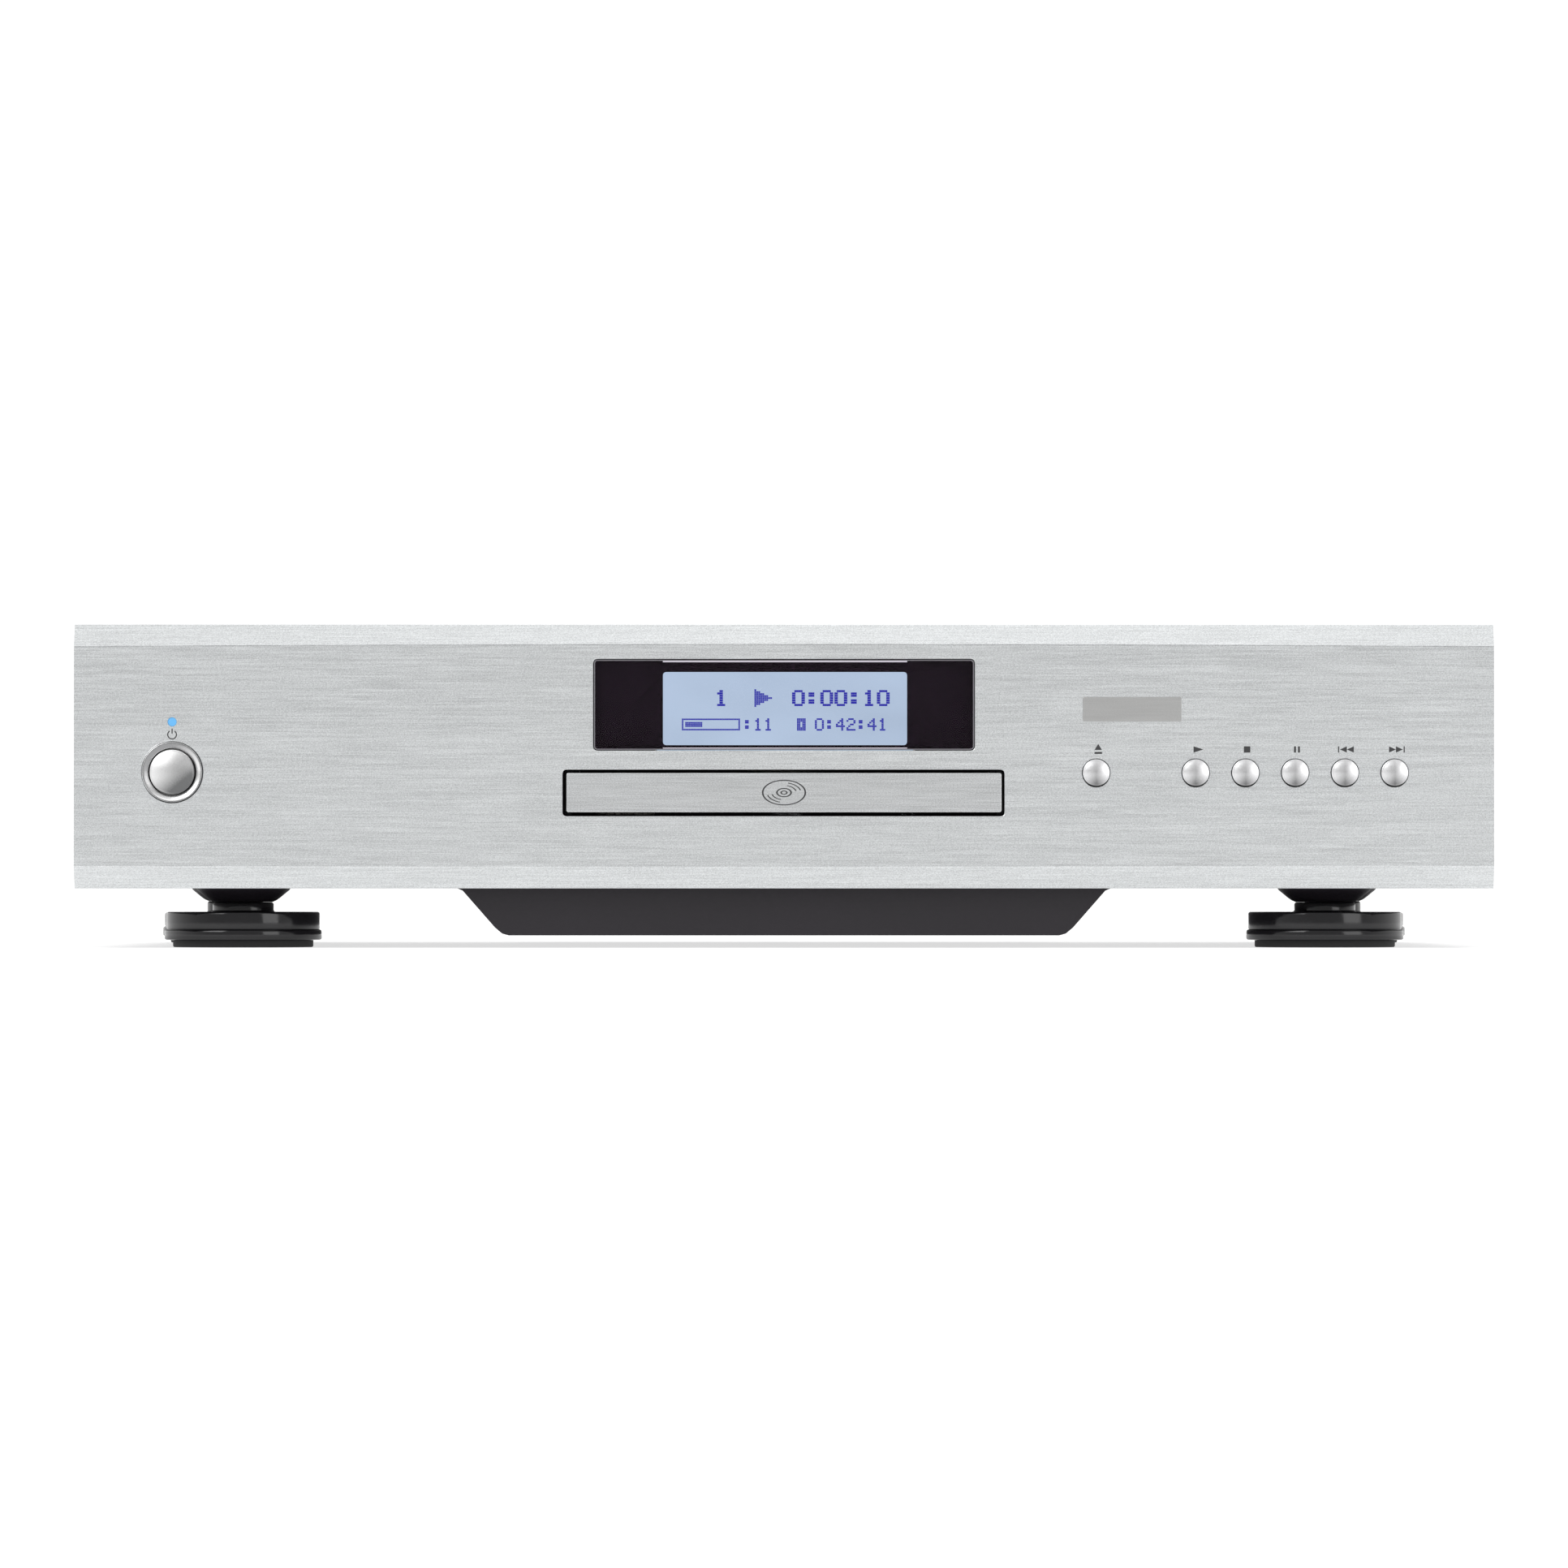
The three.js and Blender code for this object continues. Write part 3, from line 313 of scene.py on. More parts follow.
class Surface:
    """A Principled material with a few helpers for procedural detail in metres."""

    def __init__(self, slot, color, roughness, metallic=0.0, **sockets):
        self.material = bpy.data.materials.new(slot)
        self.material.use_nodes = True
        self.material["slot"] = slot
        self.tree = self.material.node_tree
        self.shader = self.tree.nodes["Principled BSDF"]
        self.color = color
        self.set("Base Color", (*color, 1))
        self.set("Roughness", roughness)
        self.set("Metallic", metallic)
        for name, value in sockets.items():
            self.set(name.replace("_", " "), value)

    def set(self, socket, value):
        self.shader.inputs[socket].default_value = value

    def feed(self, socket, output):
        self.tree.links.new(output, self.shader.inputs[socket])

    def node(self, kind, inputs=(), **settings):
        return add_node(self.tree, kind, inputs, **settings)

    def calculate(self, operation, *values):
        return self.node("Math", enumerate(values), operation=operation).outputs["Value"]

    def noise(self, scale, detail=3.0, roughness=0.6, seed=0.0):
        """Noise with a scale per metre along each axis."""
        coords = self.node("TexCoord").outputs["Object"]
        shift = (seed, seed * 0.7, seed * 1.3)
        mapping = self.node("Mapping", {"Vector": coords, "Scale": scale, "Location": shift})
        inputs = {"Vector": mapping.outputs["Vector"], "Scale": 1.0}
        inputs.update({"Detail": detail, "Roughness": roughness})
        return self.node("TexNoise", inputs).outputs["Fac"]

    def spread(self, factor, low, high, at=MIDDLE):
        """The part of a factor between two values, stretched over a new range."""
        inputs = {"Value": factor, "From Min": at[0], "From Max": at[1]}
        inputs.update({"To Min": low, "To Max": high})
        return self.node("MapRange", inputs).outputs["Result"]

    def blend(self, first, second, share=0.5):
        """A mix of two factors, by the second one's share."""
        return self.node("Mix", {"A": first, "B": second, "Factor": share}).outputs["Result"]

    def vary_color(self, factor, low, high, at=MIDDLE, socket="Base Color"):
        """The colour times a value between low and high."""
        dark = (*[c * low for c in self.color], 1)
        light = (*[min(c * high, 1.0) for c in self.color], 1)
        inputs = {"A": dark, "B": light, "Factor": self.spread(factor, 0.0, 1.0, at)}
        self.feed(socket, self.node("Mix", inputs, data_type="RGBA").outputs["Result"])

    def vary_roughness(self, factor, low, high):
        self.feed("Roughness", self.spread(factor, low, high))

    def bump(self, factor, height, strength=1.0):
        """Relief of a height in millimetres."""
        inputs = {"Height": factor, "Distance": height * MM, "Strength": strength}
        self.feed("Normal", self.node("Bump", inputs).outputs["Normal"])


def brushed(slot, color, roughness, contrast=0.2, seed=0.0):
    """Metal brushed along X: soft bands, long streaks and a short fine grain."""
    surface = Surface(slot, color, roughness, metallic=1.0)
    bands = surface.noise((3, 260, 260), 2.0, 0.5, seed=5.2 + seed)
    streaks = surface.noise((56, 2900, 2900), 2.0, 0.7, seed=seed)
    grain = surface.noise((2400, 3800, 3800), 1.0, 0.5, seed=3.1 + seed)
    texture = surface.blend(surface.blend(bands, streaks, 0.86), grain, 0.56)
    surface.vary_color(texture, 1 - contrast, 1 + contrast, at=(0.36, 0.64))
    surface.vary_roughness(streaks, roughness - 0.05, roughness + 0.07)
    surface.bump(grain, 0.004, 0.5)
    return surface.material


def turned_metal_painted_light(slot, color, roughness, painted_light_direction, low, high, sides=0.0):
    """Satin metal spun on a lathe, with light and shade painted into its colour: lighter where it
    faces one way, and at its left and right, darker elsewhere.
    """
    surface = Surface(slot, color, roughness, metallic=1.0, Anisotropic=0.4)
    grain = surface.noise((2600, 2600, 2600), 2.0)
    surface.vary_roughness(grain, roughness - 0.04, roughness + 0.06)
    # painted light: the colour rises where the normal faces the given direction and where it faces
    # left or right, as if lamps stood there, and falls to painted shade elsewhere
    normal = surface.node("TexCoord").outputs["Normal"]
    painted_key_light = surface.node("VectorMath", {0: normal, 1: painted_light_direction}, operation="DOT_PRODUCT")
    split = surface.node("SeparateXYZ", {"Vector": normal})
    painted_side_light = surface.calculate("ABSOLUTE", split.outputs["X"])
    light = surface.calculate("MULTIPLY_ADD", painted_side_light, sides, painted_key_light.outputs["Value"])
    # the painted light with a little of the metal's own fine grain mixed in
    painted_light_and_grain = surface.calculate("MULTIPLY_ADD", grain, 0.15, light)
    surface.vary_color(painted_light_and_grain, low, high, at=(-0.3, 0.5))
    return surface.material


def moulded(slot, color, roughness, grain=1400, relief=0.02, tone=0.12, **sockets):
    """Moulded plastic with a fine grain and faint flow marks."""
    surface = Surface(slot, color, roughness, **sockets)
    fine = surface.noise((grain,) * 3, 2.0)
    clouds = surface.noise((22, 22, 22), 3.0, seed=1.7)
    surface.vary_color(clouds, 1 - tone, 1 + tone)
    surface.vary_roughness(surface.blend(fine, clouds), roughness - 0.06, roughness + 0.08)
    surface.bump(fine, relief)
    return surface.material


def powder_coat(slot, color):
    surface = Surface(slot, color, 0.46, Specular_IOR_Level=0.45)
    orange_peel = surface.noise((900, 900, 900), 3.0, 0.5)
    wear = surface.noise((14, 14, 14), 5.0, 0.6, seed=4.2)
    surface.vary_color(wear, 0.92, 1.12)
    surface.vary_roughness(surface.blend(orange_peel, wear), 0.44, 0.53)
    surface.bump(orange_peel, 0.05, 0.8)
    return surface.material


def plated(slot, color, roughness):
    """Plated or polished metal with faint stains."""
    surface = Surface(slot, color, roughness, metallic=1.0)
    stains = surface.noise((120, 120, 120), 4.0)
    surface.vary_color(stains, 0.9, 1.06)
    surface.vary_roughness(stains, max(roughness - 0.06, 0.04), roughness + 0.1)
    return surface.material


def glowing(slot, color, strength, darkest=1.0, lightest=1.0):
    """A lit surface, in clouds between two levels."""
    surface = Surface(slot, color, 0.4, Emission_Strength=strength, Specular_IOR_Level=0.1)
    surface.set("Base Color", (0.01, 0.01, 0.01, 1))
    clouds = surface.noise((18, 18, 40), 2.0, seed=0.4)
    surface.vary_color(clouds, darkest, lightest, socket="Emission Color")
    return surface.material


def smoked_acrylic():
    tint = (0.9, 0.87, 0.92)
    surface = Surface("window_smoke", tint, 0.02, Transmission_Weight=1.0, IOR=1.18)
    haze = surface.noise((60, 60, 60), 3.0)
    surface.vary_roughness(haze, 0.012, 0.035)
    return surface.material


def circuit_mask():
    """Green solder mask over copper tracks."""
    surface = Surface("circuit_board", (0.02, 0.11, 0.045), 0.3, Coat_Weight=0.4)
    inputs = {"Vector": surface.node("TexCoord").outputs["Object"], "Scale": 260}
    cells = surface.node("TexVoronoi", inputs, distance="MANHATTAN", feature="F1")
    tracks = cells.outputs["Distance"]
    surface.vary_color(tracks, 0.7, 1.9, at=(0.45, 0.5))
    surface.bump(tracks, 0.02, 0.4)
    return surface.material


def layered(slot, color, roughness, metallic, scale, lightest, relief):
    """Metal in thin layers: stacked sheets or turns of wire."""
    surface = Surface(slot, color, roughness, metallic=metallic)
    layers = surface.noise(scale, 1.0)
    surface.vary_color(layers, 0.6, lightest)
    surface.bump(layers, relief)
    return surface.material


PANEL_METAL = brushed("front_aluminium", (0.675, 0.692, 0.698), 0.33)
DOOR_METAL = brushed("front_aluminium", (0.61, 0.622, 0.628), 0.33, seed=8.3)
BADGE_METAL = brushed("badge_metal", (0.48, 0.48, 0.475), 0.36, contrast=0.05, seed=2.4)
# painted light and shade: the transport caps are lighter at the top and sides and darker at the
# bottom; the power cap and ring are lighter towards the upper left and darker towards the lower right
BUTTON_PAINTED_LIGHT_METAL = turned_metal_painted_light(
    "button_aluminium", (0.9, 0.9, 0.91), 0.34, painted_light_direction=(0, 0, 0.95), low=0.12, high=1.1, sides=0.95
)
CAP_PAINTED_LIGHT_METAL = turned_metal_painted_light(
    "button_aluminium", (0.9, 0.91, 0.92), 0.4, painted_light_direction=(-0.95, 0, 1.15), low=0.18, high=1.3
)
RING_PAINTED_LIGHT_METAL = turned_metal_painted_light(
    "button_aluminium", (0.95, 0.955, 0.97), 0.3, painted_light_direction=(-0.8, 0, 0.95), low=0.33, high=1.3
)
BLACK_PLASTIC = moulded("black_plastic", (0.0095, 0.0065, 0.0095), 0.5, Specular_IOR_Level=0.3)
TRAY_PLASTIC = moulded("tray_plastic", (0.012, 0.012, 0.013), 0.42, grain=1100)
MASK_INK = moulded("black_plastic", (0.013, 0.007, 0.013), 0.7, Specular_IOR_Level=0.02)
WINDOW_ACRYLIC = smoked_acrylic()
DISPLAY_GLOW = glowing("display_glass", (0.5, 0.64, 0.79), 0.95, 0.94, 1.08)
# painted highlight: a glow standing in for the backlight's reflection in the window's top and bottom
# edges
DISPLAY_EDGE_PAINTED_HIGHLIGHT = glowing("display_glass", (0.85, 0.83, 0.88), 1.0)
WINDOW_RIM_PAINTED_HIGHLIGHT = moulded("window_smoke", (0.2, 0.19, 0.21), 0.25, tone=0.05)
DISPLAY_DOTS = glowing("display_glass", (0.025, 0.025, 0.42), 0.95)
LED_GLOW = glowing("status_light", (0.16, 0.5, 0.92), 1.0, 0.9, 1.1)
PRINT_INK = moulded("black_plastic", (0.035, 0.035, 0.037), 0.55)
PALE_INK = moulded("white_plastic", (0.36, 0.36, 0.37), 0.6)
CASE_PAINT = powder_coat("case_black", (0.0145, 0.0115, 0.016))
FOOT_PLASTIC = moulded("foot_black", (0.0085, 0.008, 0.0095), 0.14, grain=700, relief=0.004)
PAD_RUBBER = moulded("pad_rubber", (0.012, 0.012, 0.0125), 0.75, grain=1800, relief=0.05)
MECHANISM_PLASTIC = moulded("mechanism_grey", (0.05, 0.05, 0.055), 0.5)
WHITE_PLASTIC = moulded("white_plastic", (0.72, 0.7, 0.64), 0.4, tone=0.04)
RIBBON_GREY = moulded("white_plastic", (0.42, 0.42, 0.41), 0.5, grain=900)
PLATED_STEEL = plated("plated_steel", (0.5, 0.51, 0.53), 0.34)
BARE_ALUMINIUM = plated("bare_aluminium", (0.6, 0.61, 0.62), 0.4)
POLISHED_STEEL = plated("polished_steel", (0.66, 0.67, 0.69), 0.12)
GOLD_PLATE = plated("gold_plate", (0.82, 0.56, 0.2), 0.16)
LENS_GLASS = plated("lens_glass", (0.25, 0.4, 0.7), 0.05)
BELT_RUBBER = moulded("belt_rubber", (0.01, 0.01, 0.01), 0.7)
SLEEVE = moulded("capacitor_sleeve", (0.012, 0.02, 0.05), 0.3)
CIRCUIT_BOARD = circuit_mask()
COPPER = layered("winding_copper", (0.42, 0.13, 0.05), 0.32, 0.8, (8, 8, 1500), 1.3, 0.12)
LAMINATIONS = layered("laminations", (0.1, 0.105, 0.115), 0.45, 0.7, (6, 2000, 6), 1.4, 0.08)
SCREW_BLACK = plated("plated_steel", (0.09, 0.09, 0.094), 0.3)

# ---- front panel

BUTTONS = ("eject", "play", "stop", "pause", "previous", "next")
TOP_BEVEL = 6.8
BOTTOM_BEVEL = 6.6
BEVEL_DEPTH = 4.0
BEVEL_SLOPE = BEVEL_DEPTH / TOP_BEVEL
BEVEL_BOW = 0.7  # how far the bevels' front edges bow towards the middle of the panel's length
HOLE_EDGE = 0.16  # the small chamfer round each hole
# radii
POWER_HOLE = 9.34
POWER_RING = 9.15
BUTTON_HOLE = 4.3
BUTTON_RADIUS = 4.05
LED_HOLE = 1.25
LED_RADIUS = 1.15

panel_low, panel_high = span("front_panel")
FACE_Y = panel_low.y
window_low, window_high = span("display_window")
door_low, door_high = span("tray_door")
power = middle("power_ring")
led = middle("status_led")
button_centres = {name: middle(f"{name}_button") for name in BUTTONS}
# the gap round the door is a little wider at its left and below it
opening_low = Vector((door_low.x - 1.15, 0, door_low.z - 1.15))
opening_high = Vector((door_high.x + 0.85, 0, door_high.z + 0.95))


def box_outline(low, high, grow, radius):
    """A rounded outline across Y round a box."""
    centre = (low + high) / 2
    size = high - low
    return rectangle(centre.x, centre.z, size.x + 2 * grow, size.z + 2 * grow, radius, 6)


def fill(bm, loops):
    """Fills the flat area between a closed loop of vertices and the loops inside it."""
    edges = []
    for loop in loops:
        for first, second in zip(loop, loop[1:] + loop[:1]):
            edges.append(bm.edges.get((first, second)) or bm.edges.new((first, second)))
    bmesh.ops.triangle_fill(bm, use_beauty=True, edges=edges)


def bridge(bm, first, second):
    """Joins two closed loops of vertices with a band of faces."""
    for i in range(len(first)):
        bm.faces.new((first[i - 1], first[i], second[i], second[i - 1]))


def panel_holes(grow):
    """The outlines of the panel's holes, each grown by an amount."""
    holes = [
        box_outline(window_low, window_high, 0.3 + grow, 1.5),
        box_outline(opening_low, opening_high, grow, 1.3),
        circle(power.x, power.z, POWER_HOLE + grow, 64),
        circle(power.x, led.z, LED_HOLE + grow, 24),
    ]
    return holes + [circle(c.x, c.z, BUTTON_HOLE + grow, 40) for c in button_centres.values()]


def front_panel():
    """A thick bar with long bevels whose front edges bow a little, and softened edges and holes."""
    columns = 24
    half, bottom, top = panel_high.x, panel_low.z, panel_high.z
    across = [half * (2 * i / columns - 1) for i in range(columns + 1)]
    bm = bmesh.new()

    def loop(depth, inset, out, end=0.0):
        """A loop at a depth; `out` goes from the bevel's bowed front edge (0) to the outside (1)."""
        places = []
        for side, xs in ((-1, across), (1, list(reversed(across)))):
            for x in xs:
                bow = BEVEL_BOW * (1 - (x / half) ** 2) * (1 if side > 0 else 0.3)
                front = top - TOP_BEVEL + bow if side > 0 else bottom + BOTTOM_BEVEL - bow
                outside = top if side > 0 else bottom
                z = front + (outside - front) * out - side * inset
                places.append((x * (1 - end / half), FACE_Y + depth, z))
        return [bm.verts.new(place) for place in places]

    back_depth = panel_high.y - FACE_Y
    loops = [
        loop(0, 0.2, 0, 0.15),
        loop(0.1 * BEVEL_SLOPE, -0.1, 0, 0.05),
        loop(BEVEL_DEPTH - 0.2 * BEVEL_SLOPE, 0.2, 1),
        loop(BEVEL_DEPTH + 0.15, 0, 1),
        loop(back_depth - 0.2, 0, 1),
        loop(back_depth, 0.2, 1, 0.2),
    ]
    for first, second in zip(loops, loops[1:]):
        bridge(bm, first, second)
    fronts, backs = [loops[0]], [loops[-1]]
    for wide, narrow in zip(panel_holes(HOLE_EDGE), panel_holes(0.0)):
        rings = [
            [bm.verts.new((x, FACE_Y + depth, z)) for x, z in outline]
            for outline, depth in ((wide, 0), (narrow, HOLE_EDGE), (narrow, back_depth))
        ]
        bridge(bm, rings[0], rings[1])
        bridge(bm, rings[1], rings[2])
        fronts.append(rings[0])
        backs.append(rings[2])
    fill(bm, fronts)
    fill(bm, backs)
    bmesh.ops.recalc_face_normals(bm, faces=bm.faces)
    return bm


piece("front_panel_shell", front_panel(), PANEL_METAL, replaces="front_panel", flat=True)

# ---- display window

# 5 by 7 dot characters, one string a row
GLYPHS = {
    "0": "01110 10001 10001 10001 10001 10001 01110",
    "1": "00100 01100 00100 00100 00100 00100 01110",
    "2": "01110 10001 00001 00110 01000 10000 11111",
    "4": "00010 00110 01010 10010 11111 00010 00010",
    ":": "00000 01100 01100 00000 01100 01100 00000",
    "#": "11111 11111 11011 11011 11011 11111 11111",
}

DOT_Y = span("lcd_screen")[0].y - 0.03
DOT_SIZE = 0.46  # half a dot's size, as a share of the pitch
UPPER_ROW = {"centre_z": 75.7, "pitch": 0.7}
LOWER_ROW = {"centre_z": 67.7, "pitch": 0.54}


def dot(x, z, pitch, bold=0.0):
    """One lit dot of the display, as a thin plate; bold widens it by a share of the pitch."""
    half_width, half_height = pitch * (DOT_SIZE + bold), pitch * DOT_SIZE
    low = (x - half_width, DOT_Y, z - half_height)
    return block(low, (x + half_width, DOT_Y + 0.04, z + half_height))


def dot_row(text, left, centre_z, pitch, squeeze=1.0, bold=0.0):
    """A row of dot characters; squeeze narrows or widens their spacing."""
    dots = []
    for place, character in enumerate(text):
        for row, pattern in enumerate(GLYPHS[character].split()):
            for column, lit in enumerate(pattern):
                if lit == "1":
                    x = left + (place * 6 + column + 0.5) * pitch * squeeze
                    dots.append(dot(x, centre_z + (3 - row) * pitch, pitch, bold))
    return dots


def play_mark(left, centre_z, pitch):
    """A triangle of dots that points right."""
    dots = []
    for column in range(9):
        for row in range(-4, 5):
            if abs(row) <= 4.4 - 0.5 * column:
                x = left + (column + 0.5) * pitch
                dots.append(dot(x, centre_z + row * pitch, pitch))
    return dots


def track_bar(left, centre_z, pitch):
    """A bar in an outline of dots, a third of it filled, as a plain stand-in for a word."""
    columns = 34
    dots = []
    for column in range(columns):
        for row in range(-3, 4):
            edge = column in (0, columns - 1) or abs(row) == 3
            if edge or (1 < column < 12 and abs(row) < 2):
                x = left + (column + 0.5) * pitch
                dots.append(dot(x, centre_z + row * pitch, pitch))
    return dots


def display():
    low, high = window_low, window_high
    lens = extrude(box_outline(low, high, -0.3, 0.9), "y", low.y + 0.05, high.y)
    piece("display_window_lens", lens, WINDOW_ACRYLIC, replaces="display_window", bevel=0.15)
    # painted highlight: a thin grey rim round the lens stands in for the light caught by the acrylic's
    # edge
    hole = box_outline(low, high, -0.27, 0.9)
    highlight_rim = extrude(box_outline(low, high, 0, 1.1), "y", low.y, high.y - 1, [hole])
    piece("display_window_highlight_rim", highlight_rim, WINDOW_RIM_PAINTED_HIGHLIGHT)
    rows = dot_row("1", -20.8, **UPPER_ROW, bold=0.3)
    rows += play_mark(-9.0, UPPER_ROW["centre_z"], 0.6)
    rows += dot_row("0:00:10", 2.6, **UPPER_ROW, squeeze=1.02, bold=0.3)
    rows += track_bar(-31.0, LOWER_ROW["centre_z"], 0.52)
    rows += dot_row(":11", -12.3, **LOWER_ROW, squeeze=0.96, bold=0.12)
    rows += dot_row("#", 3.9, **LOWER_ROW)
    rows += dot_row("0:42:41", 9.4, **LOWER_ROW, squeeze=0.985, bold=0.12)
    piece("display_dots", merged(*rows), DISPLAY_DOTS)
    # painted highlight: two thin glowing strips stand in for the backlight reflected in the window's
    # top and bottom edges
    painted_highlight_strips = []
    for z in (low.z + 0.48, high.z - 0.48):
        painted_highlight_strips.append(block((-36.7, high.y + 0.02, z - 0.16), (37.3, high.y + 0.12, z + 0.16)))
    piece("display_edge_painted_highlight", merged(*painted_highlight_strips), DISPLAY_EDGE_PAINTED_HIGHLIGHT)


display()

# ---- buttons and light

BUTTON_FACE_Y = span("play_button")[0].y


def dome(radius, crown, edge, front, back, steps=10):
    """A turned cap: a crowned face, a rounded edge and a straight side. Heights are along Y."""
    side = front + crown + edge
    profile = [(0.0, front)]
    reach = radius - edge
    for i in range(1, steps + 1):
        r = reach * i / steps
        profile.append((r, front + crown * (r / reach) ** 2))
    for i in range(1, 6):
        angle = math.pi / 2 * i / 5
        profile.append((reach + edge * math.sin(angle), side - edge * math.cos(angle)))
    return profile + [(radius, back)]


def transport_button(name):
    back = FACE_Y + 7.4
    profile = dome(BUTTON_RADIUS, 0.75, 0.25, BUTTON_FACE_Y, back)
    profile += [(5.2, back), (5.2, back + 1.4), (1.6, back + 1.4), (1.6, back + 3.4), (0, back + 3.4)]
    bm = revolve(profile, "y", button_centres[name], 72)
    node = f"{name}_button"
    piece(f"{name}_cap", bm, BUTTON_PAINTED_LIGHT_METAL, node, replaces=node)


def power_controls():
    lip, back = depths("power_ring")
    ring = [
        (7.2, back), (7.2, lip + 1.1), (7.26, lip + 0.98), (7.4, lip + 0.9), (8.1, lip + 0.62),
        (8.7, lip + 0.34), (8.9, lip + 0.12), (8.98, lip), (9.08, lip + 0.03), (POWER_RING, lip + 0.2),
        (POWER_RING, back),
    ]
    bm = revolve(ring, "y", power, 96)
    piece("power_ring_bezel", bm, RING_PAINTED_LIGHT_METAL, replaces="power_ring")
    front, back = depths("power_button")
    flange = panel_high.y - 0.6
    profile = dome(6.8, 1.35, 0.35, front, flange, 16)
    profile += [(8.3, flange), (8.3, flange + 1.4), (2.5, flange + 1.4), (2.5, back), (0, back)]
    bm = revolve(profile, "y", power, 96)
    piece("power_cap", bm, CAP_PAINTED_LIGHT_METAL, "power_button", replaces="power_button")
    front, back = depths("status_led")
    lens = dome(LED_RADIUS, 0.35, 0.2, front, back - 6)
    lens += [(1.65, back - 6), (1.65, back), (0, back)]
    bm = revolve(lens, "y", (power.x, 0, led.z), 32)
    piece("status_lens", bm, LED_GLOW, replaces="status_led")


for button in BUTTONS:
    transport_button(button)
power_controls()

# ---- printed marks and badge

PRINT_DEPTH = 0.03
MARK_HEIGHT = 1.9
MARK_RISE = 7.05  # from a transport button's centre to its mark's


def printed(name, outlines, face, body="case", outward=-1, ink=PRINT_INK):
    """Flat printed shapes on a face across Y; each is an outline or an (outline, holes) pair."""
    parts = []
    for entry in outlines:
        outline, holes = entry if isinstance(entry, tuple) else (entry, [])
        low, high = sorted((face, face + outward * PRINT_DEPTH))
        parts.append(extrude(outline, "y", low, high, holes))
    piece(name, merged(*parts), ink, body)


def pointer(x, z, width, direction):
    """A triangle that points left (-1) or right (1)."""
    base, tip = x - direction * width / 2, x + direction * width / 2
    return [(base, z - MARK_HEIGHT / 2), (tip, z), (base, z + MARK_HEIGHT / 2)]


def transport_marks():
    z = button_centres["play"].z + MARK_RISE
    at = {name: centre.x for name, centre in button_centres.items()}
    x = at["eject"] + 0.6
    eject = [
        [(x - 1.15, z - 0.15), (x + 1.15, z - 0.15), (x, z + 1.65)],
        rectangle(x, z - 1.05, 2.3, 0.6),
    ]
    skip = []
    for name, direction in (("previous", -1), ("next", 1)):
        x = at[name] + (0.75 if direction > 0 else 0.25)
        for shift in (-1.05, 1.05):
            skip.append(pointer(x - direction * 0.35 + shift, z, 2.1, direction))
        skip.append(rectangle(x + direction * 2.15, z, 0.35, MARK_HEIGHT))
    pause = [rectangle(at["pause"] + dx, z, 0.62, MARK_HEIGHT) for dx in (-0.05, 1.15)]
    printed("eject_mark", eject, FACE_Y)
    printed("play_mark", [pointer(at["play"] + 0.85, z, 3.0, 1)], FACE_Y)
    printed("stop_mark", [rectangle(at["stop"] + 0.5, z, 1.95, MARK_HEIGHT)], FACE_Y)
    printed("pause_mark", pause, FACE_Y)
    printed("skip_marks", skip, FACE_Y)


def power_mark():
    """A broken ring with a bar, between the power button and the light."""
    z = power.z + POWER_RING + 2.2
    ring = band(power.x, z, 1.5, 1.15, 125, 415)
    printed("power_mark", [ring, rectangle(power.x, z + 1.05, 0.36, 1.5)], FACE_Y)


def disc_mark():
    """A plain disc seen at a slant: its rim, two bands of sheen and its hub, as flattened rings."""
    centre_z = (door_low.z + door_high.z) / 2
    flat = 0.58

    def flattened(points):
        return [(x, centre_z + z * flat) for x, z in points]

    outlines = []
    for outer, inner in ((6.7, 6.2), (2.4, 1.9), (1.1, 0.65)):
        outlines.append((flattened(circle(0, 0, outer)), [flattened(circle(0, 0, inner))]))
    for outer, inner in ((5.3, 4.9), (3.9, 3.5)):
        for start in (14, 194):
            outlines.append(flattened(band(0, 0, outer, inner, start, start + 62)))
    printed("disc_mark", outlines, door_low.y, "tray")


def badge():
    low, high = span("badge_plate")
    plate = extrude(box_outline(low, high, 0, 0.5), "y", low.y, high.y)
    piece("badge", plate, BADGE_METAL, replaces="badge_plate", bevel=0.12)


transport_marks()
power_mark()
disc_mark()
badge()

# ---- disc tray

tray_low, tray_high = span("tray")
disc = middle("spindle_hub")
TRAY_HALF = 64
TRAY_UNDER = 45  # the underside of the tray's plate
SKIRT_LOW = 41.6
TOOTH_PITCH = 3.0
TOOTH_DEPTH = 1.6


def rack(back, tip, start, end):
    """A toothed rack along Y whose teeth point along +X."""
    root = tip - TOOTH_DEPTH
    teeth = int((end - start) // TOOTH_PITCH)
    outline = [(back, start)]
    for i in range(teeth):
        y = start + i * TOOTH_PITCH
        outline += [(root, y), (root, y + TOOTH_PITCH * 0.3), (tip, y + TOOTH_PITCH * 0.45)]
        outline += [(tip, y + TOOTH_PITCH * 0.7), (root, y + TOOTH_PITCH * 0.85)]
    end = start + teeth * TOOTH_PITCH
    outline += [(root, end), (back, end)]
    return extrude(outline, "z", SKIRT_LOW, TRAY_UNDER + 0.2)


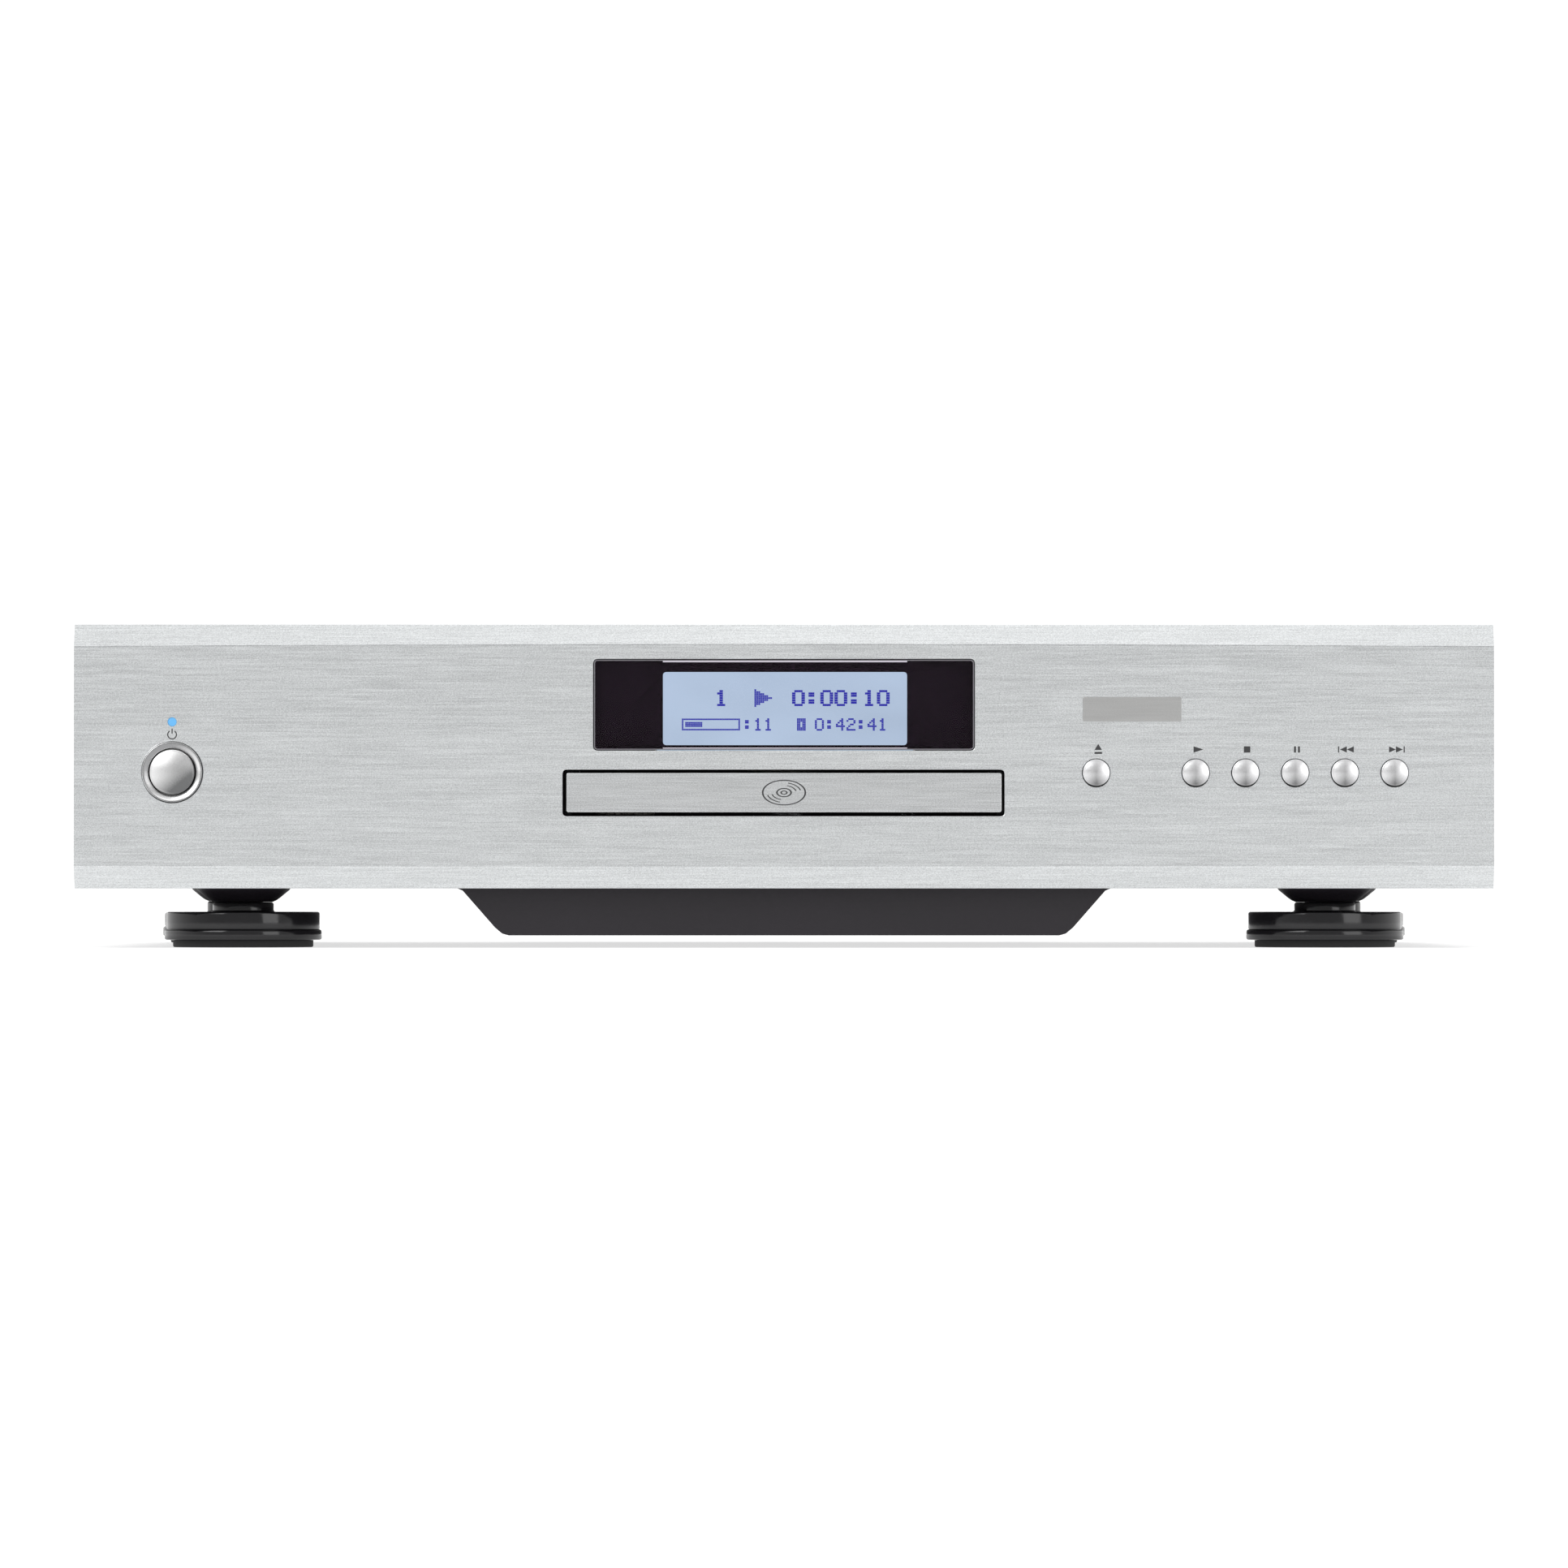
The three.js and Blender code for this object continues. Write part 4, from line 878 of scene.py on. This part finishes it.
def disc_tray():
    left, right, front, back = -TRAY_HALF, TRAY_HALF, tray_low.y, tray_high.y
    outline = rounded([(left, front), (right, front), (right, back), (left, back)], 2.5)
    plate = extrude(outline, "z", TRAY_UNDER, tray_high.z)
    well = revolve(
        [(0, 48), (59.9, 48), (60.5, 48.6), (60.6, 50.4), (61.4, 51.2), (61.4, 60), (0, 60)],
        "z", (0, disc.y, 0), 128,
    )
    small_well = revolve(
        [(0, 46.4), (40.0, 46.4), (40.5, 46.9), (40.6, 47.6), (41.2, 48.2), (41.2, 60), (0, 60)],
        "z", (0, disc.y, 0), 96,
    )
    opening = arc(0, disc.y, 19, 180, 360, 32) + [(19, back + 5), (-19, back + 5)]
    slot = extrude(opening, "z", 40, 60)
    grips = [extrude(circle(x, disc.y, 9), "z", 47, 60) for x in (left, right)]
    body = carved(plate, well, small_well, slot, *grips)
    ribs = []
    for x in (-45, -28, 28, 45, 56):
        ribs.append(block((x - 0.6, front + 6, 43.4), (x + 0.6, back - 4, TRAY_UNDER + 0.2)))
    skirt = block((-60, front, SKIRT_LOW), (60, front + 3, TRAY_UNDER + 0.2))
    teeth = rack(-62, -58, front + 4, back - 2)
    rests = []
    for angle in (70, 110, 250, 290):
        x = 57.5 * math.cos(math.radians(angle))
        y = disc.y + 57.5 * math.sin(math.radians(angle))
        rest = [(0, 47.9), (2.2, 47.9), (2.2, 48.15), (1.7, 48.3), (0, 48.35)]
        rests.append(revolve(rest, "z", (x, y, 0), 20))
    whole = merged(body, *ribs, skirt, teeth, *rests)
    piece("disc_tray", whole, TRAY_PLASTIC, "tray", replaces="tray", bevel=0.18)


def tray_door():
    front, back = door_low.y, door_high.y
    slab = extrude(box_outline(door_low, door_high, 0, 0.8), "y", front, back - 0.9)
    clips = [block((x - 5, back - 1, 43), (x + 5, back, 50)) for x in (-50, 0, 50)]
    whole = merged(slab, *clips)
    piece("tray_door_front", whole, DOOR_METAL, "tray", replaces="tray_door", bevel=0.3)


disc_tray()
tray_door()

# ---- case

cover_low, cover_high = span("top_cover")
pan_low, pan_high = span("bottom_pan")
rear_low, rear_high = span("rear_panel")
SHEET = 1.2
CHANNEL_TOP = 98.3
CHANNEL_BOTTOM = 85.3
CHANNEL_Z = pan_low.z
SLOT_WIDTH = 3.0
SLOT_PITCH = 8.0


def slots(first, count, start, end):
    """The outlines of a row of parallel slots with round ends, each from start to end."""
    radius = SLOT_WIDTH / 2
    outlines = []
    for i in range(count):
        place = first + i * SLOT_PITCH
        outline = arc(place, start + radius, radius, 180, 360, 8)
        outlines.append(outline + arc(place, end - radius, radius, 0, 180, 8))
    return outlines


def top_cover():
    x, top = cover_high.x, cover_high.z
    path = [(x, cover_low.z), (x, top - 2.2)]
    path += arc(x - 2.2, top - 2.2, 2.2, 10, 80, 5) + [(x - 2.2, top)]
    path += [(-px, pz) for px, pz in reversed(path)]
    bm = extrude(sheet_section(path, SHEET), "y", cover_low.y, cover_high.y)
    vents = slots(-191, 10, -116, -56) + slots(119, 10, 60, 120)
    cutters = [extrude(vent, "z", top - 2, top + 2) for vent in vents]
    piece("cover_shell", carved(bm, *cutters), CASE_PAINT, replaces="top_cover", bevel=0.2)


def pan_path():
    """The bottom's outer side from the top of the right wall to the top of the left one."""
    half, floor = pan_high.x, panel_low.z
    right = [(half, pan_high.z), (half, floor + 1.6), (half - 0.5, floor + 0.5), (half - 1.6, floor)]
    right += [(CHANNEL_TOP + 1.0, floor), (CHANNEL_TOP - 0.6, floor - 0.7)]
    right += [(CHANNEL_BOTTOM + 2.6, CHANNEL_Z + 2.4), (CHANNEL_BOTTOM + 0.4, CHANNEL_Z + 0.55)]
    right += [(CHANNEL_BOTTOM - 1.6, CHANNEL_Z)]
    return right + [(-px, pz) for px, pz in reversed(right)]


def foot_boss(centre):
    """The round pressing in the pan above a foot, as a bowl of sheet."""
    outer = [
        (14.6, 18.2), (14.2, 17.5), (13.2, 16.7), (11.4, 15.2), (10.2, 14.35), (8.9, 13.8), (2.2, 13.8)
    ]
    inner = [(2.2, 15.0), (8.5, 15.0), (9.8, 15.5), (11.0, 16.5), (12.4, 17.9), (13.4, 19.2)]
    return revolve(outer + inner, "z", centre, 56)


FEET = {"front_left": 10.8, "front_right": 10.8, "rear_left": 10.0, "rear_right": 10.0}  # disc tops
foot_centres = {corner: middle(f"foot_{corner}") for corner in FEET}


def bottom_pan():
    shell = extrude(sheet_section(pan_path()[::-1], SHEET), "y", pan_low.y, pan_high.y)
    wall = extrude(pan_path(), "y", pan_low.y, pan_low.y + SHEET)
    hole = [(0, 10), (13.3, 10), (13.3, 25), (0, 25)]
    cutters = [revolve(hole, "z", centre, 56) for centre in foot_centres.values()]
    sides = slots(-178, 6, -10, 40) + slots(138, 6, -10, 40)
    for vents, z in ((sides, panel_low.z), (slots(-36, 10, 80, 120), CHANNEL_Z)):
        cutters += [extrude(vent, "z", z - 2.4, z + 3.6) for vent in vents]
    body = carved(fused(shell, wall), *cutters)
    bosses = [foot_boss(centre) for centre in foot_centres.values()]
    piece("pan_shell", merged(body, *bosses), CASE_PAINT, replaces="bottom_pan", bevel=0.3)


def foot(corner):
    centre = foot_centres[corner]
    top = FEET[corner]
    body = [
        (6.0, 2.2), (23.4, 2.2), (23.9, 2.35), (24.1, 2.7), (24.1, 4.7), (23.95, 5.1), (23.55, 5.35),
        (23.3, 5.5), (23.45, 5.75), (23.5, 6.1), (23.5, top - 0.7), (23.35, top - 0.25), (22.9, top),
        (10.2, top), (9.6, top + 0.15), (9.35, top + 0.5), (9.35, 13.1), (9.2, 13.5), (8.8, 13.75),
        (2.3, 13.75), (2.3, 9.0), (6.0, 9.0),
    ]
    turned = revolve(body, "z", centre, 96)
    piece(f"foot_{corner}_body", turned, FOOT_PLASTIC, replaces=f"foot_{corner}")
    pad = [(8, 0.25), (8.25, 0), (21.1, 0), (21.4, 0.15), (21.5, 0.5), (21.5, 2.1), (8, 2.1)]
    turned = revolve(pad, "z", centre, 80)
    piece(f"foot_{corner}_pad", turned, PAD_RUBBER, replaces=f"foot_pad_{corner}")


top_cover()
bottom_pan()
for corner in FEET:
    foot(corner)

# ---- rear panel and connectors

SEAM = 0.1  # the connectors' faces stand this far off the panel
WALL_FOOT = 25  # the pan's path is its bottom below this height, and its side walls above
RED_PLASTIC = moulded("white_plastic", (0.55, 0.02, 0.02), 0.4, tone=0.05)
ORANGE_PLASTIC = moulded("white_plastic", (0.8, 0.22, 0.02), 0.4, tone=0.05)
JACK_RINGS = {
    "left_output_jack": WHITE_PLASTIC,
    "right_output_jack": RED_PLASTIC,
    "digital_output_jack": ORANGE_PLASTIC,
}


def rear_panel():
    outline = [point for point in pan_path() if point[1] < WALL_FOOT]
    outline = [(pan_high.x, rear_high.z), *outline, (-pan_high.x, rear_high.z)]
    inlet = middle("power_inlet")
    holes = [circle(middle(node).x, middle(node).z, 3.9, 32) for node in JACK_RINGS]
    holes.append(rectangle(inlet.x, inlet.z, 28.2, 20.6, 1.5))
    holes += slots(-44, 12, 62, 82)
    bm = extrude(outline, "y", rear_low.y, rear_high.y, holes)
    piece("rear_shell", bm, CASE_PAINT, replaces="rear_panel", bevel=0.15)


def jack(node, ring):
    centre = middle(node)
    face, end = rear_high.y + SEAM, span(node)[1].y
    barrel = [
        (0, face - 5), (3.5, face - 5), (3.5, face), (4.9, face), (4.9, face + 1.9), (4.3, face + 2.3),
        (4.15, face + 2.6), (4.15, end - 0.4), (3.95, end), (3.2, end), (3.2, end - 6), (0, end - 6),
    ]
    core = [(1.65, end - 6.5), (3.1, end - 6.5), (3.1, end - 0.7), (2.9, end - 0.5)]
    core += [(1.85, end - 0.5), (1.65, end - 0.7)]
    collar = [(5.0, face - 0.05), (5.7, face - 0.05), (5.8, face + 0.1), (5.8, face + 1.3)]
    collar += [(5.6, face + 1.6), (5.0, face + 1.6)]
    piece(f"{node}_barrel", revolve(barrel, "y", centre, 48), GOLD_PLATE, replaces=node)
    piece(f"{node}_core", revolve(core, "y", centre, 40), ring)
    piece(f"{node}_collar", revolve(collar, "y", centre, 48), ring)


def power_inlet():
    low, high = span("power_inlet")
    c = (low + high) / 2
    face = rear_high.y + SEAM
    flange = extrude(rectangle(c.x, c.z, high.x - low.x, high.z - low.z, 2.5), "y", face, high.y)
    body = extrude(rectangle(c.x, c.z, 27.6, 20, 1.0), "y", face - 17, face + 0.5)
    keyed = [(-11.8, -8), (11.8, -8), (11.8, 3.6), (7.4, 8), (-7.4, 8), (-11.8, 3.6)]
    keyed = [(c.x + x, c.z + z) for x, z in keyed]
    cavity = extrude(rounded(keyed, 1.2, 4), "y", face - 14.5, face + 5)
    housing = carved(fused(flange, body), cavity)
    piece("inlet_housing", housing, BLACK_PLASTIC, replaces="power_inlet", bevel=0.3)
    blades = [
        block((c.x + dx - 1, face - 14.6, c.z + dz - 2), (c.x + dx + 1, face + 0.3, c.z + dz + 2))
        for dx, dz in ((-7, -2), (0, 3.4), (7, -2))
    ]
    piece("inlet_blades", merged(*blades), PLATED_STEEL, bevel=0.4)


def rear_marks():
    """Plain printed frames round the two analogue outputs and round the digital one."""
    left, right = middle("left_output_jack"), middle("right_output_jack")
    digital = middle("digital_output_jack")
    groups = [
        ((left.x + right.x) / 2, left.z, abs(left.x - right.x) + 18),
        (digital.x, digital.z, 18),
    ]
    frames = []
    for x, z, width in groups:
        frames.append((rectangle(x, z, width, 20, 2), [rectangle(x, z, width - 0.8, 19.2, 1.6)]))
    printed("rear_marks", frames, rear_high.y, outward=1, ink=PALE_INK)


rear_panel()
for node, ring in JACK_RINGS.items():
    jack(node, ring)
power_inlet()
rear_marks()

# ---- screws


def screw_mesh(radius, height):
    """A pan-head screw with a cross recess, its axis along Z and its seat at Z = 0."""
    head = [(0, 0), (radius, 0), (radius, height * 0.35), (radius * 0.92, height * 0.62)]
    head += [(radius * 0.7, height * 0.88), (radius * 0.35, height * 0.98), (0, height)]
    bm = revolve(head, "z", (0, 0, 0), 32)
    wide, narrow = radius * 0.62, radius * 0.14
    recess = fused(
        block((-wide, -narrow, height * 0.35), (wide, narrow, height * 2)),
        block((-narrow, -wide, height * 0.35), (narrow, wide, height * 2)),
    )
    mesh = smooth_mesh("screw_head", carved(bm, recess), SCREW_BLACK)
    mesh.set_sharp_from_angle(angle=SHARP_ANGLE)
    return mesh


SCREW_HEAD = screw_mesh(2.9, 1.8)
TURNS = {"+x": (0, 90, 0), "-x": (0, -90, 0), "+y": (-90, 0, 0), "-z": (180, 0, 0)}


def screw(name, place, direction):
    obj = add_object(name, SCREW_HEAD)
    obj.location = Vector(place) * MM
    obj.rotation_euler = [math.radians(a) for a in TURNS[direction]]
    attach(obj, "case")


for side, sign, direction in (("left", -1, "-x"), ("right", 1, "+x")):
    for place, y in (("front", -118), ("middle", 8), ("rear", 128)):
        screw(f"cover_screw_{side}_{place}", (sign * (cover_high.x - 0.9), y, 40), direction)
REAR_SCREWS = ((-200, 88), (-70, 88), (70, 88), (200, 88), (-200, 26), (200, 26), (-60, 12), (60, 12))
for number, (x, z) in enumerate(REAR_SCREWS):
    screw(f"rear_screw_{number}", (x, rear_high.y, z), "+y")
for corner, c in foot_centres.items():
    screw(f"foot_screw_{corner}", (c.x, c.y, 9.0), "-z")

# ---- mechanism and electronics

# the CAD nodes that keep their shape, by material and by the width of their softened edges
CARRIED_OVER = (
    (DISPLAY_GLOW, 0.2, ["lcd_screen"]),
    (MASK_INK, 0.2, ["front_frame"]),
    (WHITE_PLASTIC, 0.3, ["display_board", "clamp_puck", "cam_slider"]),
    (WHITE_PLASTIC, 0.1, ["sled_gear", "drive_pulley", "tray_gear"]),
    (CIRCUIT_BOARD, 0, ["button_board", "power_board", "main_board"]),
    (BLACK_PLASTIC, 0.3, ["power_switch", "spindle_hub"]),
    (MECHANISM_PLASTIC, 0.25, ["loader_frame", "traverse"]),
    (MECHANISM_PLASTIC, 0.3, ["pickup_sled"]),
    (PLATED_STEEL, 0.3, ["clamp_bridge"]),
    (POLISHED_STEEL, 0.3, ["spindle_motor", "sled_motor", "loading_motor"]),
    (POLISHED_STEEL, 0.2, ["guide_rod_left", "guide_rod_right"]),
    (LENS_GLASS, 0.1, ["pickup_lens"]),
    (GOLD_PLATE, 0.15, ["motor_pulley"]),
    (BELT_RUBBER, 0.15, ["loading_belt"]),
    (LAMINATIONS, 0.5, ["transformer_core"]),
    (COPPER, 1.2, ["transformer_winding"]),
    (BARE_ALUMINIUM, 0.3, ["heatsink"]),
    (SLEEVE, 0.4, ["capacitor_left", "capacitor_right"]),
)
for material, bevel, nodes in CARRIED_OVER:
    for node in nodes:
        finish_node(node, material, bevel)

# ---- small parts on the boards

board_low, board_high = span("main_board")
BOARD_TOP = board_high.z
LEG_PITCH = 1.8
SOCKET_HEIGHT = 7
# place and size across X and Y
CHIPS = (
    (156, 40, 14, 20), (130, 22, 8, 14), (128, 66, 8, 14), (176, 84, 8, 12), (-128, 40, 8, 14),
    (-128, 84, 8, 14),
)
SOCKETS = ((141, -54, 18, 6), (118, -20, 6, 22), (-134, 0, 16, 7), (-118, 62, 6, 16))


def chip(x, y, width, length):
    """A flat integrated circuit's body, and its two rows of legs."""
    low = (x - width / 2, y - length / 2, BOARD_TOP + 0.5)
    high = (x + width / 2, y + length / 2, BOARD_TOP + 3)
    legs = []
    count = int(length / LEG_PITCH)
    for edge in (x - width / 2 - 0.5, x + width / 2 + 0.5):
        for i in range(count):
            leg = y + (i - (count - 1) / 2) * LEG_PITCH
            near, far = (edge - 0.7, leg - 0.3), (edge + 0.7, leg + 0.3)
            legs.append(block((*near, BOARD_TOP), (*far, BOARD_TOP + 1.4)))
    return block(low, high), legs


def small_capacitor(x, y, radius, height):
    """A can with a rolled groove near its foot and a dished top."""
    top = BOARD_TOP + height
    foot = BOARD_TOP + 1.2
    can = [
        (0, BOARD_TOP), (radius, BOARD_TOP), (radius, foot), (radius - 0.3, foot + 0.4),
        (radius, foot + 0.8), (radius, top - 0.4), (radius - 0.4, top), (radius - 1, top - 0.3),
        (0, top - 0.3),
    ]
    return revolve(can, "z", (x, y, 0), 32)


def ribbon_cable():
    """A flat cable that rises from the main board and runs forward to the button board."""
    start_y, end_y = board_low.y + 4, span("button_board")[1].y + 0.2
    start_z, end_z = BOARD_TOP + 5, middle("button_board").z
    path = []
    for i in range(17):
        t = i / 16
        z = start_z + (end_z - start_z) * t + 7 * math.sin(math.pi * t)
        path.append((start_y + (end_y - start_y) * t, z))
    return extrude(sheet_section(path, 0.5), "x", 134, 148)


def board_parts():
    bodies, legs = [], []
    for place in CHIPS:
        body, rows = chip(*place)
        bodies.append(body)
        legs += rows
    piece("board_chips", merged(*bodies), BLACK_PLASTIC, bevel=0.2)
    piece("board_chip_legs", merged(*legs), PLATED_STEEL)
    cans = [small_capacitor(x, 108, 3.2, 12) for x in (126, 138, 150, 162)]
    cans += [small_capacitor(x, -8, 4, 14) for x in (176, 190)]
    cans += [small_capacitor(x, 96, 4, 14) for x in (-180, -166)]
    piece("board_capacitors", merged(*cans), SLEEVE)
    sockets = []
    for x, y, width, depth in SOCKETS:
        low = (x - width / 2, y - depth / 2, BOARD_TOP)
        sockets.append(block(low, (x + width / 2, y + depth / 2, BOARD_TOP + SOCKET_HEIGHT)))
    piece("board_sockets", merged(*sockets), WHITE_PLASTIC, bevel=0.3)
    piece("ribbon_cable", ribbon_cable(), RIBBON_GREY)


board_parts()

# ---- floor, light and camera


def studio():
    bpy.ops.mesh.primitive_circle_add(vertices=96, radius=9, fill_type="NGON")
    floor = bpy.context.object
    floor.name = "floor"
    surface = Surface("floor", (0.4, 0.4, 0.4), 0.65, Emission_Strength=0.68)
    surface.set("Emission Color", (1, 1, 1, 1))
    floor.data.materials.append(surface.material)

    world = bpy.data.worlds.new("studio")
    bpy.context.scene.world = world
    world.use_nodes = True
    tree = world.node_tree
    background = tree.nodes["Background"]
    background.inputs["Color"].default_value = (1, 1, 1, 1)
    direction = add_node(tree, "TexCoord").outputs["Generated"]
    split = add_node(tree, "SeparateXYZ", {"Vector": direction})
    levels = {"Value": split.outputs["Y"], "From Min": -0.9, "From Max": 0.7}
    levels.update({"To Min": 0.5, "To Max": 1.08})
    ramp = add_node(tree, "MapRange", levels, interpolation_type="SMOOTHSTEP")
    tree.links.new(ramp.outputs["Result"], background.inputs["Strength"])

    softboxes = [
        ("key_softbox", (-1.5, -1.5, 1.5), (1.3, 1.3), 20),
        ("top_softbox", (0.45, -0.1, 1.7), (3.0, 1.4), 7.4),
        ("fill_softbox", (1.3, -1.55, 0.47), (0.9, 0.9), 5),
    ]
    for name, place, size, watts in softboxes:
        light = bpy.data.lights.new(name, "AREA")
        light.shape = "RECTANGLE"
        light.size, light.size_y = size
        light.energy = watts
        obj = add_object(name, light)
        obj.location = place
        obj.visible_camera = False
        aim = Vector((0, 0, 0.05)) - Vector(place)
        obj.rotation_euler = aim.to_track_quat("-Z", "Y").to_euler()


def camera():
    view_width = 0.4745  # metres across the picture at the front panel's face
    distance = 2.6
    eye_height = 0.018
    aim_height = 0.0496
    data = bpy.data.cameras.new("camera")
    data.sensor_width = 36
    data.lens = 36 * distance / view_width
    data.clip_start = 0.05
    data.clip_end = 60
    obj = add_object("camera", data)
    obj.location = (0, FACE_Y * MM - distance, eye_height)
    obj.rotation_euler = (math.pi / 2 + math.atan2(aim_height - eye_height, distance), 0, 0)
    bpy.context.scene.camera = obj


studio()
camera()
bpy.context.scene.view_settings.view_transform = "Standard"
